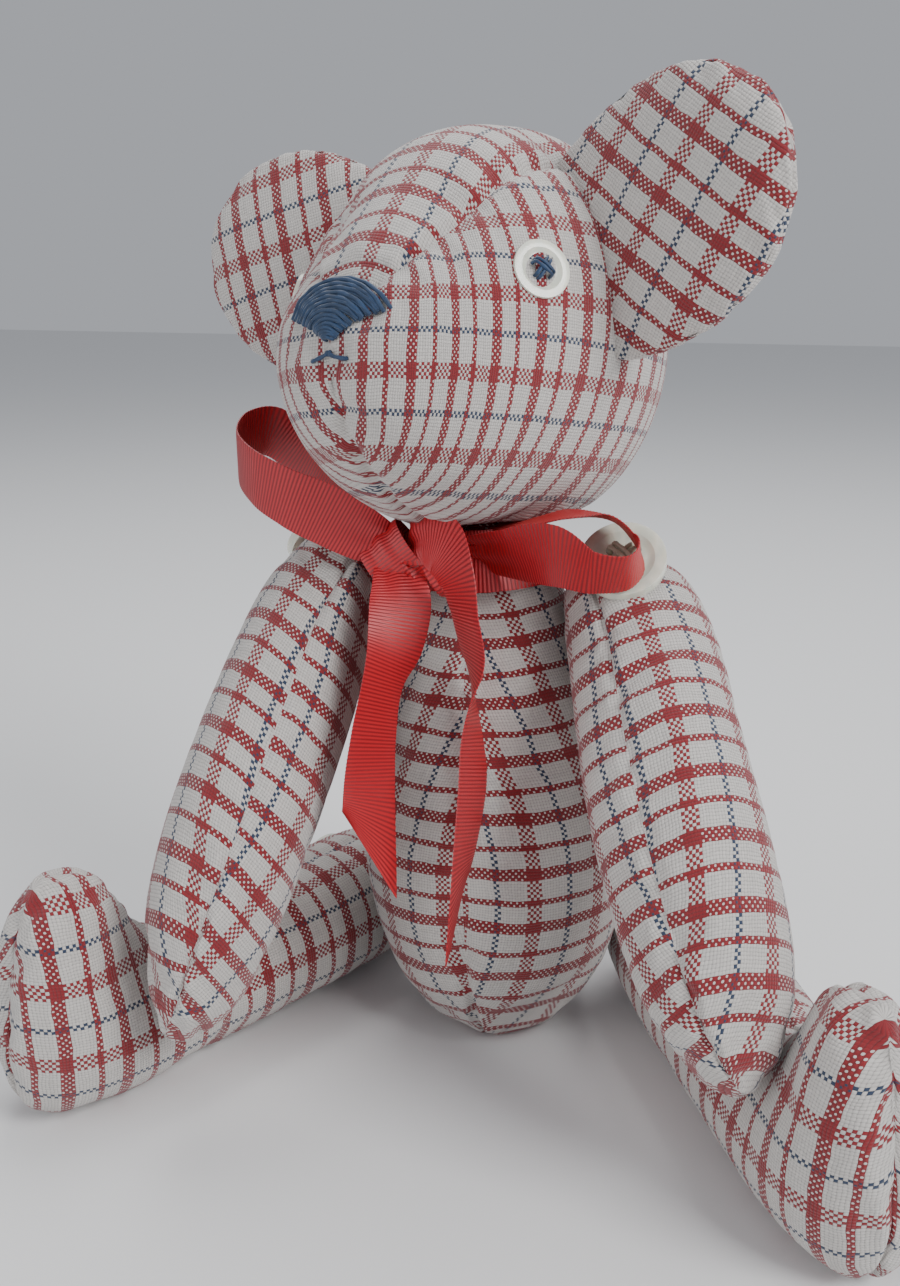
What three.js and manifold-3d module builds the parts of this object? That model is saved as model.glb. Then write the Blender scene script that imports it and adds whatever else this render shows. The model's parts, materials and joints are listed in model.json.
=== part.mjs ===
// A jointed teddy bear sewn from woven check cloth, firmly stuffed, sitting with its legs out.
// Millimetres, +Z up, the bear faces -Y, and its own left side is +X.
// Every cloth skin is a thin shell split where its seams run, and the stuffing is a solid inside it.

import * as THREE from "three";
import { mergeVertices } from "three/addons/utils/BufferGeometryUtils.js";
import Module from "manifold-3d";

const wasm = await Module();
wasm.setup();

// ---------- Driving dimensions ----------

// cloth and fits
const CLOTH = 1.0;
const SEAM_GAP = 0.3;
const STUFFING_GAP = 0.9;
const TOUCH_GAP = 0.4;
const JOINT_GAP = 0.8;

// body
const BODY_HEIGHT = 138;
const BODY_WIDTH = 68;
const BODY_DEPTH = 64;
const NECK_WIDTH = 30;
const BODY_LEAN = -3.5;

// head
const HEAD_WIDTH = 80;
const HEAD_HEIGHT = 92;
const HEAD_LENGTH = 95;
const HEAD_SINK = 5;
const HEAD_TURN = -20;
const HEAD_TILT = -6;
const HEAD_NOD = -10;
const GUSSET_ANGLE = 41;

// ears
const EAR_WIDTH = 58;
const EAR_REACH = 60;
const EAR_FORWARD = -3;
const EAR_THICKNESS = 8;

// arms
const ARM_LENGTH = 130;
const ARM_WIDTH = 41;
const ARM_THICKNESS = 34;
const SHOULDER_DROP = 49;
const SHOULDER_BACK = 16;
const SHOULDER_SLOPE = 36;
const SHOULDER_TURN = 25;

// legs
const LEG_LENGTH = 138;
const LEG_WIDTH = 38;
const LEG_THICKNESS = 36;
const FOOT_HEIGHT = 62;
const HIP_HEIGHT = 20;
const HIP_BACK = -6;

// how each limb lies, in degrees: an arm's swing forward from straight down, its bend in towards the
// body, and how far round it and up from its joint's line the button is sewn; a leg's turn out from
// straight ahead
const ARM_POSES = {
  left: { side: 1, forward: 42, bend: 9, round: 63, lift: 10 },
  right: { side: -1, forward: 47, bend: 23, round: -55, lift: 0 },
};
const LEG_POSES = {
  left: { side: 1, splay: 30 },
  right: { side: -1, splay: 25 },
};

// buttons and threads
const EYE_BUTTON = 12.5;
const LIMB_BUTTON = 20;
const BUTTON_THICKNESS = 2.6;
const BUTTON_HOLE = 2.0;
const HOLE_CIRCLE_SHARE = 0.26;
const THREAD = 1.0;
const AXLE_THREAD = 1.8;
const SHANK = 0.8;
const AXLE_GAP = 0.4;

// neck joint
const NECK_DISC = 18;
const DISC_THICKNESS = 2.4;
const WASHER = 11;
const WASHER_THICKNESS = 0.9;
const PIN = 2.6;
const PIN_GAP = 0.4;

// ribbon, tied round the neck in a bow
const RIBBON_WIDTH = 15;
const RIBBON_THICKNESS = 0.8;
const KNOT_WIDTH = 11;
const KNOT_ANGLE = -40;
const LOOP_LENGTH = 48;
const TAIL_LENGTH = 80;

// face
const NOSE_THREAD_DEPTH = 1.4;
const MOUTH_THREAD = 1.1;

// ---------- Finishes ----------

const finish = (color, roughness, metalness = 0) =>
  new THREE.MeshStandardMaterial({ color, roughness, metalness });
const CHECK_CLOTH = finish("#d8c4c4", 0.9);
const WADDING = finish("#f1eee6", 1.0);
const PEARL = finish("#dedcc6", 0.35);
const NAVY_THREAD = finish("#2b4568", 0.7);
const STRONG_THREAD = finish("#e6e0cf", 0.8);
const FIBREBOARD = finish("#8a6b4b", 0.85);
const STEEL = finish("#b9bcc0", 0.3, 1);
const RED_RIBBON = finish("#b0141c", 0.6);

const bear = new THREE.Group();

function addPiece(name, geometry, material) {
  const mesh = new THREE.Mesh(geometry, material);
  mesh.name = name;
  bear.add(mesh);
}

// ---------- Stuffed forms ----------

const vec = (x, y, z) => new THREE.Vector3(x, y, z);
const radians = THREE.MathUtils.degToRad;
// how finely a panel is faceted, along the form and round it
const ROWS = 11;
const COLUMNS = 6;
// edges shorter than this are tidied away after a cut
const CRUMB = 0.02;

// A smooth curve through rows of numbers, all read at the same share of the way along.
function smoothRows(rows) {
  const width = rows[0].length;
  const curves = [];
  for (let k = 0; k < width; k += 1) {
    curves.push(new THREE.SplineCurve(rows.map((row) => new THREE.Vector2(row[k], 0))));
  }
  return (share) => curves.map((curve) => curve.getPoint(share).x);
}

// A stuffed form from stations. Each row is [along, across] of one seam edge, [along, across] of the
// other, and half the thickness there. The form's own axes are x = thickness, y = along, z = across.
// angle 0 is the first seam edge, a half turn is the second. place turns and moves the form, and
// flatten presses its points against whatever it rests on.
function stuffedForm(rows, place, flatten = (point) => point) {
  const read = smoothRows(rows);
  const at = (share, angle) => {
    const [a, b, c, d, half, bow = 0] = read(share);
    const middle = vec(0, (a + c) / 2, (b + d) / 2);
    const arm = vec(0, (a - c) / 2, (b - d) / 2);
    const point = middle.addScaledVector(arm, Math.cos(angle));
    point.x = bow + half * Math.sin(angle);
    return flatten(point.applyMatrix4(place));
  };
  // the turn round the form that moves a point by this distance
  const turnFor = (share, angle, distance) => {
    const step = 0.02;
    const speed = at(share, angle + step).distanceTo(at(share, angle - step)) / (2 * step);
    return Math.min(0.5, distance / Math.max(speed, 0.1));
  };
  const hand = place.determinant() < 0 ? -1 : 1;
  const inward = (share, angle) => {
    const step = 0.004;
    const low = Math.max(0, share - step);
    const high = Math.min(1, share + step);
    const along = at(high, angle).sub(at(low, angle));
    const around = at(share, angle + step).sub(at(share, angle - step));
    return along.cross(around).normalize().multiplyScalar(hand);
  };
  const sunk = (share, angle, depth) => at(share, angle).addScaledVector(inward(share, angle), depth);
  return { sunk, turnFor };
}

// A closed geometry from a grid of outer points and the grid of inner points behind them.
function slabGeometry(outer, inner) {
  const rows = outer.length;
  const columns = outer[0].length;
  const points = [];
  const faces = [];
  outer.forEach((row) => row.forEach((point) => points.push(...point.toArray())));
  inner.forEach((row) => row.forEach((point) => points.push(...point.toArray())));
  const behind = rows * columns;
  const quad = (a, b, c, d) => faces.push(a, b, c, a, c, d);
  for (let i = 0; i + 1 < rows; i += 1) {
    for (let j = 0; j + 1 < columns; j += 1) {
      const a = i * columns + j;
      quad(a, a + 1, a + columns + 1, a + columns);
      quad(behind + a, behind + a + columns, behind + a + columns + 1, behind + a + 1);
    }
  }
  for (let i = 0; i + 1 < rows; i += 1) {
    const a = i * columns;
    const b = a + columns - 1;
    quad(a, a + columns, behind + a + columns, behind + a);
    quad(b, behind + b, behind + b + columns, b + columns);
  }
  for (let j = 0; j + 1 < columns; j += 1) {
    const last = (rows - 1) * columns + j;
    quad(j, behind + j, behind + j + 1, j + 1);
    quad(last, last + 1, behind + last + 1, behind + last);
  }
  return indexed(points, faces);
}

function indexed(points, faces) {
  const geometry = new THREE.BufferGeometry();
  geometry.setAttribute("position", new THREE.Float32BufferAttribute(points, 3));
  geometry.setIndex(faces);
  return outward(geometry);
}

// Turns a geometry's faces round if they enclose a negative volume.
function outward(geometry) {
  const position = geometry.getAttribute("position");
  const index = geometry.index.array;
  const corner = [vec(), vec(), vec()];
  let volume = 0;
  for (let i = 0; i < index.length; i += 3) {
    corner.forEach((point, k) => point.fromBufferAttribute(position, index[i + k]));
    volume += corner[0].dot(corner[1].clone().cross(corner[2]));
  }
  if (volume < 0) {
    for (let i = 0; i < index.length; i += 3) {
      [index[i + 1], index[i + 2]] = [index[i + 2], index[i + 1]];
    }
  }
  return geometry;
}

// One cloth panel of a form, between two seam angles, which may change along the form.
function panelGeometry(form, from, to, { rows = ROWS, columns = COLUMNS, depth = 0, thickness = CLOTH,
  start = 0, end = 1, gap = SEAM_GAP } = {}) {
  const grid = (sink) => {
    const lines = [];
    for (let i = 0; i <= rows; i += 1) {
      const share = start + ((end - start) * i) / rows;
      const first = from(share) + form.turnFor(share, from(share), gap / 2);
      const last = to(share) - form.turnFor(share, to(share), gap / 2);
      const line = [];
      for (let j = 0; j <= columns; j += 1) {
        line.push(form.sunk(share, first + ((last - first) * j) / columns, sink));
      }
      lines.push(line);
    }
    return lines;
  };
  return slabGeometry(grid(depth), grid(depth + thickness));
}

// A closed solid of a form, sunk by a depth all round, with flat ends. spread gives the turn round the
// form of each column, so that the solid's facets can lie behind those of the panels over it.
const evenly = (columns) => (share, j) => (2 * Math.PI * j) / columns;

function solidGeometry(form, depth, { rows = ROWS, columns = 2 * COLUMNS, spread = evenly(columns) } = {}) {
  const points = [];
  const faces = [];
  const centre = (i) => {
    const sum = vec(0, 0, 0);
    for (let j = 0; j < columns; j += 1) {
      sum.add(vec(...points.slice(3 * (i * columns + j), 3 * (i * columns + j) + 3)));
    }
    return sum.divideScalar(columns);
  };
  for (let i = 0; i <= rows; i += 1) {
    for (let j = 0; j < columns; j += 1) {
      points.push(...form.sunk(i / rows, spread(i / rows, j), depth).toArray());
    }
  }
  for (let i = 0; i < rows; i += 1) {
    for (let j = 0; j < columns; j += 1) {
      const next = (j + 1) % columns;
      const a = i * columns + j;
      const b = i * columns + next;
      faces.push(a, b, b + columns, a, b + columns, a + columns);
    }
  }
  const ends = [centre(0), centre(rows)];
  const tip = (rows + 1) * columns;
  ends.forEach((point) => points.push(...point.toArray()));
  for (let j = 0; j < columns; j += 1) {
    const next = (j + 1) % columns;
    faces.push(tip, next, j);
    faces.push(tip + 1, rows * columns + j, rows * columns + next);
  }
  return indexed(points, faces);
}

// ---------- Booleans ----------

function toSolid(geometry) {
  const bare = geometry.clone();
  bare.deleteAttribute("normal");
  bare.deleteAttribute("uv");
  const merged = mergeVertices(bare, 1e-4);
  return new wasm.Manifold(
    new wasm.Mesh({
      numProp: 3,
      vertProperties: new Float32Array(merged.attributes.position.array),
      triVerts: new Uint32Array(merged.index.array),
    }),
  );
}

function toGeometry(solid) {
  const mesh = solid.getMesh();
  return indexed(Array.from(mesh.vertProperties), Array.from(mesh.triVerts));
}

function cut(geometry, cutters) {
  let solid = toSolid(geometry);
  cutters.forEach((cutter) => {
    solid = solid.subtract(toSolid(cutter));
  });
  return toGeometry(solid);
}

function join(geometries) {
  let solid = toSolid(geometries[0]);
  geometries.slice(1).forEach((geometry) => {
    solid = solid.add(toSolid(geometry));
  });
  return toGeometry(solid);
}

// The largest piece of a geometry, without the crumbs that a cut can leave.
function mainPiece(geometry) {
  const pieces = toSolid(geometry).decompose();
  pieces.sort((a, b) => b.volume() - a.volume());
  return toGeometry(pieces[0].simplify(CRUMB));
}

// A round bar between two points.
function bar(from, to, diameter, sides = 10) {
  const length = from.distanceTo(to);
  const shape = new THREE.CylinderGeometry(diameter / 2, diameter / 2, length, sides);
  const turn = new THREE.Quaternion().setFromUnitVectors(vec(0, 1, 0), to.clone().sub(from).normalize());
  shape.applyQuaternion(turn);
  const middle = from.clone().add(to).multiplyScalar(0.5);
  return shape.translate(middle.x, middle.y, middle.z);
}

// A round cord of small section along a chain of points.
function cordGeometry(points, diameter, sides = 8, steps = 12) {
  const section = new THREE.Shape();
  for (let k = 0; k < sides; k += 1) {
    const angle = (2 * Math.PI * k) / sides;
    const x = (diameter / 2) * Math.cos(angle);
    const y = (diameter / 2) * Math.sin(angle);
    if (k === 0) {
      section.moveTo(x, y);
    } else {
      section.lineTo(x, y);
    }
  }
  return new THREE.ExtrudeGeometry(section, { steps, extrudePath: new THREE.CatmullRomCurve3(points) });
}

// ---------- Body ----------

const halfWidth = BODY_WIDTH / 2;
const halfDepth = BODY_DEPTH / 2;
const halfNeck = NECK_WIDTH / 2;

// height share and front share, height share and back share, and half width, from the seat up;
// the first rows lie below the floor, so that the seat is pressed flat
const bodyRows = [
  [-0.014, 0.2, -0.014, 0.08, 0.05],
  [-0.012, 0.46, -0.01, -0.14, 0.28],
  [0.012, 0.62, 0.02, -0.38, 0.44],
  [0.06, 0.82, 0.08, -0.62, 0.64],
  [0.16, 1.0, 0.18, -0.86, 0.86],
  [0.3, 1.06, 0.32, -0.98, 0.99],
  [0.46, 1.0, 0.47, -0.98, 1.0],
  [0.62, 0.84, 0.62, -0.88, 0.84],
  [0.78, 0.64, 0.78, -0.7, 0.63],
  [0.9, 0.49, 0.9, -0.53, 0.49],
  [0.975, 0.41, 0.975, -0.43, 0.42],
];
const bodyTable = bodyRows.map(([a, b, c, d, half]) => [
  a * BODY_HEIGHT, b * halfDepth, c * BODY_HEIGHT, d * halfDepth, half * halfWidth]);
bodyTable.push([BODY_HEIGHT, halfNeck * 0.8, BODY_HEIGHT, -halfNeck * 0.8, halfNeck * 0.8]);
bodyTable.push([BODY_HEIGHT, PIN * 1.4, BODY_HEIGHT, -PIN * 1.4, PIN * 1.4]);

// stands a form up: along becomes up, across becomes forwards
const upright = new THREE.Matrix4().makeBasis(vec(1, 0, 0), vec(0, 0, 1), vec(0, -1, 0));
const lean = new THREE.Matrix4().makeRotationY(radians(BODY_LEAN));
const bodyPlace = lean.clone().multiply(upright);
const onFloor = (point) => {
  point.z = Math.max(0, point.z);
  return point;
};
const bodyForm = stuffedForm(bodyTable, bodyPlace, onFloor);
const inBody = (x, y, z) => vec(x, y, z).applyMatrix4(lean);
const half = () => Math.PI;
const none = () => 0;
const full = () => 2 * Math.PI;

// ---------- Neck joint ----------

const neckTop = inBody(0, 0, BODY_HEIGHT);
const neckUp = inBody(0, 0, 1);
const alongNeck = (height) => neckTop.clone().addScaledVector(neckUp, height);
const headBase = JOINT_GAP;
const pinHole = (from, to) => bar(alongNeck(from), alongNeck(to), PIN + 2 * PIN_GAP, 12);

function ring(low, high, outer, inner, sides = 20) {
  const disc = bar(alongNeck(low), alongNeck(high), outer, sides);
  return cut(disc, [bar(alongNeck(low - 1), alongNeck(high + 1), inner, 12)]);
}

const discInHead = headBase + CLOTH + STUFFING_GAP;
const washerInHead = discInHead + DISC_THICKNESS + SEAM_GAP;
const pinHeadLow = washerInHead + WASHER_THICKNESS + SEAM_GAP;
const pinHeadHigh = pinHeadLow + PIN;
const discInBody = -CLOTH - STUFFING_GAP - DISC_THICKNESS;
const washerInBody = discInBody - SEAM_GAP - WASHER_THICKNESS;
const pinEnd = washerInBody - SEAM_GAP - PIN;

addPiece("neck_disc_head",
  ring(discInHead, discInHead + DISC_THICKNESS, NECK_DISC, PIN + 2 * PIN_GAP), FIBREBOARD);
addPiece("neck_washer_head",
  ring(washerInHead, washerInHead + WASHER_THICKNESS, WASHER, PIN + 2 * PIN_GAP), STEEL);
addPiece("neck_disc_body",
  ring(discInBody, discInBody + DISC_THICKNESS, NECK_DISC, PIN + 2 * PIN_GAP), FIBREBOARD);
addPiece("neck_washer_body",
  ring(washerInBody, washerInBody + WASHER_THICKNESS, WASHER, PIN + 2 * PIN_GAP), STEEL);

// a split pin: an eye at the top, and two legs curled back under the washer
const pinLegs = [-1, 1].map((side) => {
  const curl = [0, 45, 90, 135, 180].map((angle) => {
    const reach = PIN * 0.9;
    const out = side * reach * (1 - Math.cos(radians(angle)));
    const down = pinEnd + PIN * 0.2 - reach * Math.sin(radians(angle));
    return alongNeck(down).addScaledVector(vec(1, 0, 0), out);
  });
  return cordGeometry(curl, PIN * 0.6, 6, 8);
});
addPiece("neck_split_pin",
  join([
    bar(alongNeck(pinEnd), alongNeck(pinHeadLow + PIN * 0.5), PIN, 10),
    bar(alongNeck(pinHeadLow).addScaledVector(vec(1, 0, 0), -PIN * 1.2).addScaledVector(neckUp, PIN * 0.5),
      alongNeck(pinHeadLow).addScaledVector(vec(1, 0, 0), PIN * 1.2).addScaledVector(neckUp, PIN * 0.5),
      PIN, 10),
    ...pinLegs,
  ]), STEEL);

const headCavity = [
  bar(alongNeck(-20), alongNeck(pinHeadHigh + SEAM_GAP), PIN + 2 * PIN_GAP, 12),
  bar(alongNeck(-20), alongNeck(pinHeadHigh + SEAM_GAP), NECK_DISC + 2 * SEAM_GAP, 20),
];
const bodyCavity = [
  bar(alongNeck(pinEnd - PIN * 1.2), alongNeck(20), NECK_DISC + 2 * SEAM_GAP, 20),
];

// ---------- Buttons ----------

// A four-hole button with a raised rim, its back at z = 0 and its face towards +z.
function buttonGeometry(diameter) {
  const radius = diameter / 2;
  const rim = BUTTON_THICKNESS;
  const profile = [
    [0, 0], [radius * 0.8, 0], [radius, rim * 0.45], [radius * 0.94, rim * 0.95],
    [radius * 0.78, rim], [radius * 0.58, rim * 0.7], [0, rim * 0.66],
  ].map(([x, y]) => new THREE.Vector2(x, y));
  const disc = new THREE.LatheGeometry(profile, 20).rotateX(Math.PI / 2);
  const body = toGeometry(toSolid(disc));
  const holes = holePlaces(diameter).map((place) =>
    bar(place.clone().setZ(-1), place.clone().setZ(rim + 1), BUTTON_HOLE, 6));
  return cut(body, holes);
}

function holePlaces(diameter) {
  const reach = diameter * HOLE_CIRCLE_SHARE * Math.SQRT1_2;
  return [[1, 1], [-1, 1], [-1, -1], [1, -1]].map(([x, y]) => vec(x * reach * 0.72, y * reach * 0.72, 0));
}

// The crossed stitches that hold a button: two staples through its holes. Under a limb's button they end
// in a wound shank, and a stem runs from that down through the limb.
function stitchGeometry(diameter, stem) {
  const places = holePlaces(diameter);
  const top = BUTTON_THICKNESS * 0.7 + THREAD * 0.5 + SEAM_GAP;
  const foot = stem > 0 ? -SHANK : 0.1;
  const staples = [[0, 2], [1, 3]].map(([from, to], layer) => {
    const lift = top + layer * 0.1;
    const a = places[from];
    const b = places[to];
    return join([
      bar(a.clone().setZ(foot), a.clone().setZ(lift), THREAD, 5),
      bar(b.clone().setZ(foot), b.clone().setZ(lift), THREAD, 5),
      bar(a.clone().setZ(lift), b.clone().setZ(lift), THREAD, 5),
    ]);
  });
  if (stem > 0) {
    const wound = 2 * places[0].length() + THREAD;
    staples.push(bar(vec(0, 0, -SHANK), vec(0, 0, -SEAM_GAP), wound, 12));
    staples.push(bar(vec(0, 0, -stem), vec(0, 0, -SHANK / 2), AXLE_THREAD, 6));
  }
  return join(staples);
}

// Sews a button on at a point, facing along a direction, with its top edge turned towards up.
function sewButton(name, threadName, diameter, point, face, up, thread, stem = 0) {
  const side = up.clone().cross(face).normalize();
  const top = face.clone().cross(side).normalize();
  const place = new THREE.Matrix4().makeBasis(side, top, face).setPosition(point);
  addPiece(name, buttonGeometry(diameter).applyMatrix4(place), PEARL);
  addPiece(threadName, stitchGeometry(diameter, stem).applyMatrix4(place), thread);
}

// ---------- Arms ----------

const halfArm = ARM_WIDTH / 2;
const halfArmThickness = ARM_THICKNESS / 2;
const SHOULDER_SHARE = 0.12;
// how near the axle line the cloth of limb and body is measured for the fit between them
const CONTACT_RADIUS = 9;
const BEND_START = 4;
const BEND_LENGTH = 18;

// along share and across share of the under seam, the same for the upper seam, and the thickness share
const armRows = [
  [0.0, 0.1, 0.0, -0.12, 0.14],
  [0.02, 0.5, 0.02, -0.52, 0.5],
  [0.1, 0.84, 0.1, -0.88, 0.82],
  [0.24, 0.9, 0.24, -0.96, 0.95],
  [0.42, 0.84, 0.4, -1.02, 1.0],
  [0.58, 0.9, 0.56, -1.0, 1.02],
  [0.74, 1.06, 0.73, -0.86, 0.98],
  [0.87, 1.04, 0.88, -0.6, 0.8],
  [0.955, 0.78, 0.965, -0.16, 0.48],
  [0.99, 0.5, 1.0, 0.2, 0.14],
];
function armTable(bend) {
  return armRows.map(([a, b, c, d, thick]) => {
    const along = ((a + c) / 2 - SHOULDER_SHARE) * ARM_LENGTH;
    const bent = Math.max(0, along - BEND_START);
    const bow = -Math.tan(radians(bend)) * (bent * bent) / (bent + BEND_LENGTH);
    return [(a - SHOULDER_SHARE) * ARM_LENGTH, b * halfArm,
      (c - SHOULDER_SHARE) * ARM_LENGTH, d * halfArm,
      thick * halfArmThickness, bow];
  });
}

function shoulderFrame({ side, forward, round, lift }) {
  const axis = vec(side * Math.cos(radians(SHOULDER_SLOPE)), 0, Math.sin(radians(SHOULDER_SLOPE)));
  const down = vec(side * Math.sin(radians(SHOULDER_SLOPE)), 0, -Math.cos(radians(SHOULDER_SLOPE)));
  const along = down.multiplyScalar(Math.cos(radians(forward)))
    .addScaledVector(vec(0, -1, 0), Math.sin(radians(forward)));
  const across = axis.clone().cross(along).multiplyScalar(side);
  // the limb turns on a line that is swung forward of its own thickness
  const hinge = axis.clone().applyAxisAngle(vec(0, 0, 1), radians(-side * SHOULDER_TURN));
  // the button is sewn further round the arm than the line that the arm turns on
  const tip = radians(SHOULDER_SLOPE + lift);
  const buttonWay = vec(side * Math.cos(tip), 0, Math.sin(tip))
    .applyAxisAngle(vec(0, 0, 1), radians(-side * (SHOULDER_TURN + round)));
  return { axis, along, across, hinge, buttonWay };
}

// how far a form stands out along a line from a point, looking only this near to the line
function reachOf(form, origin, line, nearness) {
  let reach = 0;
  for (let i = 1; i < 60; i += 1) {
    for (let k = 0; k < 60; k += 1) {
      const from = form.sunk(i / 60, (Math.PI * k) / 30, 0).sub(origin);
      const off = from.dot(line);
      const aside = Math.sqrt(Math.max(0, from.lengthSq() - off * off));
      if (aside < nearness) {
        reach = Math.max(reach, off);
      }
    }
  }
  return reach;
}

// how far from the pivot a button's stem begins, clear of the axle thread's end
const STEM_START = 2 * AXLE_THREAD;
const joints = {};
const bodyHoles = [];
// what the soft ribbon lies against, grown by the gap it keeps
const besideRibbon = [];
const axleEnds = { shoulder: [], hip: [] };

function buildLimb(kind, side, table, { axis, along, across, hinge, buttonWay }, centre, flatten) {
  const turn = new THREE.Matrix4().makeBasis(axis, along, across);
  const loose = stuffedForm(table, turn);
  const inner = reachOf(loose, vec(0, 0, 0), hinge.clone().negate(), CONTACT_RADIUS);
  const outer = reachOf(loose, vec(0, 0, 0), buttonWay, LIMB_BUTTON * 0.4);
  const reach = reachOf(bodyForm, centre, hinge, CONTACT_RADIUS) + JOINT_GAP + inner;
  const pivot = centre.clone().addScaledVector(hinge, reach);
  const form = stuffedForm(table, turn.clone().setPosition(pivot), flatten);
  const standing = outer + TOUCH_GAP + SHANK;
  const buttonSpot = pivot.clone().addScaledVector(buttonWay, standing);
  const axleEnd = pivot.clone().addScaledVector(hinge, AXLE_THREAD);
  const holeWidth = AXLE_THREAD + 2 * AXLE_GAP;
  const axleHole = bar(centre, axleEnd.clone().addScaledVector(hinge, JOINT_GAP), holeWidth, 8);
  const stemHole = bar(pivot, buttonSpot, holeWidth, 8);
  const hole = join([axleHole, stemHole]);
  const limb = kind === "shoulder" ? "arm" : "leg";
  addPiece(`${limb}_${side}_outer_panel`, cut(panelGeometry(form, none, half), [hole]), CHECK_CLOTH);
  addPiece(`${limb}_${side}_inner_panel`, cut(panelGeometry(form, half, full), [hole]), CHECK_CLOTH);
  addPiece(`${limb}_${side}_stuffing`, cut(solidGeometry(form, CLOTH + STUFFING_GAP), [hole]), WADDING);
  const up = along.clone().negate();
  sewButton(`${kind}_button_${side}`, `${kind}_button_thread_${side}`, LIMB_BUTTON,
    buttonSpot, buttonWay, up, STRONG_THREAD, standing - STEM_START);
  axleEnds[kind].push(axleEnd);
  bodyHoles.push(axleHole);
  joints[`${kind}_${side}`] = { pivot, axis: hinge };
  besideRibbon.push(solidGeometry(form, -TOUCH_GAP));
  const clear = BUTTON_THICKNESS + THREAD + TOUCH_GAP;
  besideRibbon.push(bar(pivot, buttonSpot.clone().addScaledVector(buttonWay, clear),
    LIMB_BUTTON + 2 * TOUCH_GAP, 20));
}

const shoulderCentre = inBody(0, SHOULDER_BACK, BODY_HEIGHT - SHOULDER_DROP);
Object.entries(ARM_POSES).forEach(([side, pose]) => {
  buildLimb("shoulder", side, armTable(pose.bend), shoulderFrame(pose), shoulderCentre);
});

// ---------- Legs ----------

const halfLegThickness = LEG_THICKNESS / 2;

// along share and height of the upper seam, the same for the lower seam, and the thickness share;
// heights are shares of the leg's width up to the ankle, and the foot's own height past it
const legRows = [
  [0.0, 0.5, 0.0, 0.4, 0.14, 0],
  [0.02, 0.8, 0.02, 0.15, 0.55, 0],
  [0.11, 0.98, 0.11, 0.02, 0.86, 0],
  [0.3, 1.0, 0.3, 0.0, 1.0, 0],
  [0.48, 0.95, 0.5, 0.0, 0.96, 0],
  [0.61, 0.94, 0.68, 0.0, 0.93, 0],
  [0.69, 1.0, 0.83, 0.0, 0.93, 0.1],
  [0.735, 1.14, 0.955, 0.1, 0.9, 0.35],
  [0.76, 1.3, 0.99, 0.42, 0.8, 0.7],
  [0.79, 1.5, 0.99, 0.85, 0.66, 1],
  [0.84, 1.61, 0.965, 1.25, 0.46, 1],
  [0.9, 1.63, 0.93, 1.52, 0.14, 1],
];
const footScale = FOOT_HEIGHT / (1.63 * LEG_WIDTH);
const HIP_SHARE = 0.15;
const legTable = legRows.map(([a, b, c, d, thick, foot]) => {
  const scale = LEG_WIDTH * (1 + foot * (footScale - 1));
  return [(a - HIP_SHARE) * LEG_LENGTH, b * scale - HIP_HEIGHT,
    (c - HIP_SHARE) * LEG_LENGTH, d * scale - HIP_HEIGHT, thick * halfLegThickness];
});

const hipCentre = vec(0, HIP_BACK, HIP_HEIGHT);
Object.entries(LEG_POSES).forEach(([side, { side: sign, splay }]) => {
  const axis = vec(sign * Math.cos(radians(splay)), Math.sin(radians(splay)), 0);
  const along = vec(sign * Math.sin(radians(splay)), -Math.cos(radians(splay)), 0);
  const basis = { axis, along, across: vec(0, 0, 1), hinge: axis, buttonWay: axis };
  buildLimb("hip", side, legTable, basis, hipCentre, onFloor);
});

// the doubled thread from limb to limb through the body, which the limbs turn on
Object.entries(axleEnds).forEach(([kind, [left, right]]) => {
  const centre = kind === "shoulder" ? shoulderCentre : hipCentre;
  const lengths = [bar(centre, left, AXLE_THREAD, 6), bar(centre, right, AXLE_THREAD, 6)];
  addPiece(`${kind}_axle_thread`, join(lengths), STRONG_THREAD);
});

addPiece("body_panel_left", cut(panelGeometry(bodyForm, none, half), bodyHoles), CHECK_CLOTH);
addPiece("body_panel_right", cut(panelGeometry(bodyForm, half, full), bodyHoles), CHECK_CLOTH);
addPiece("body_stuffing",
  cut(solidGeometry(bodyForm, CLOTH + STUFFING_GAP), [...bodyHoles, ...bodyCavity]), WADDING);

// ---------- Head ----------

const halfHead = HEAD_WIDTH / 2;
const halfHeight = HEAD_HEIGHT / 2;
const halfLength = HEAD_LENGTH / 2;

// length share and height share of the top, the same for the underside, and the width share
const headRows = [
  [-1.03, -0.13, -1.03, -0.18, 0.03],
  [-1.015, 0.03, -1.01, -0.38, 0.26],
  [-0.9, 0.25, -0.88, -0.6, 0.53],
  [-0.66, 0.56, -0.66, -0.8, 0.76],
  [-0.36, 0.92, -0.38, -0.93, 0.93],
  [0.0, 1.05, -0.02, -1.0, 1.0],
  [0.34, 1.07, 0.32, -1.0, 1.0],
  [0.64, 0.88, 0.62, -0.88, 0.88],
  [0.86, 0.56, 0.86, -0.6, 0.64],
  [0.97, 0.26, 0.97, -0.28, 0.34],
  [0.99, 0.08, 0.99, -0.08, 0.1],
];
const headTable = headRows.map(([a, b, c, d, wide]) => [
  a * halfLength, b * halfHeight, c * halfLength, d * halfHeight, wide * halfHead]);
const headCentre = neckTop.clone().addScaledVector(neckUp, JOINT_GAP + HEAD_HEIGHT / 2 - HEAD_SINK);
const headPlace = new THREE.Matrix4()
  .makeRotationFromEuler(new THREE.Euler(radians(HEAD_NOD), radians(HEAD_TILT), radians(HEAD_TURN), "ZYX"))
  .setPosition(headCentre);
const basePlane = alongNeck(headBase);
const onNeck = (point) => {
  const height = point.clone().sub(basePlane).dot(neckUp);
  return height < 0 ? point.addScaledVector(neckUp, -height) : point;
};
const headForm = stuffedForm(headTable, headPlace, onNeck);

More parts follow.
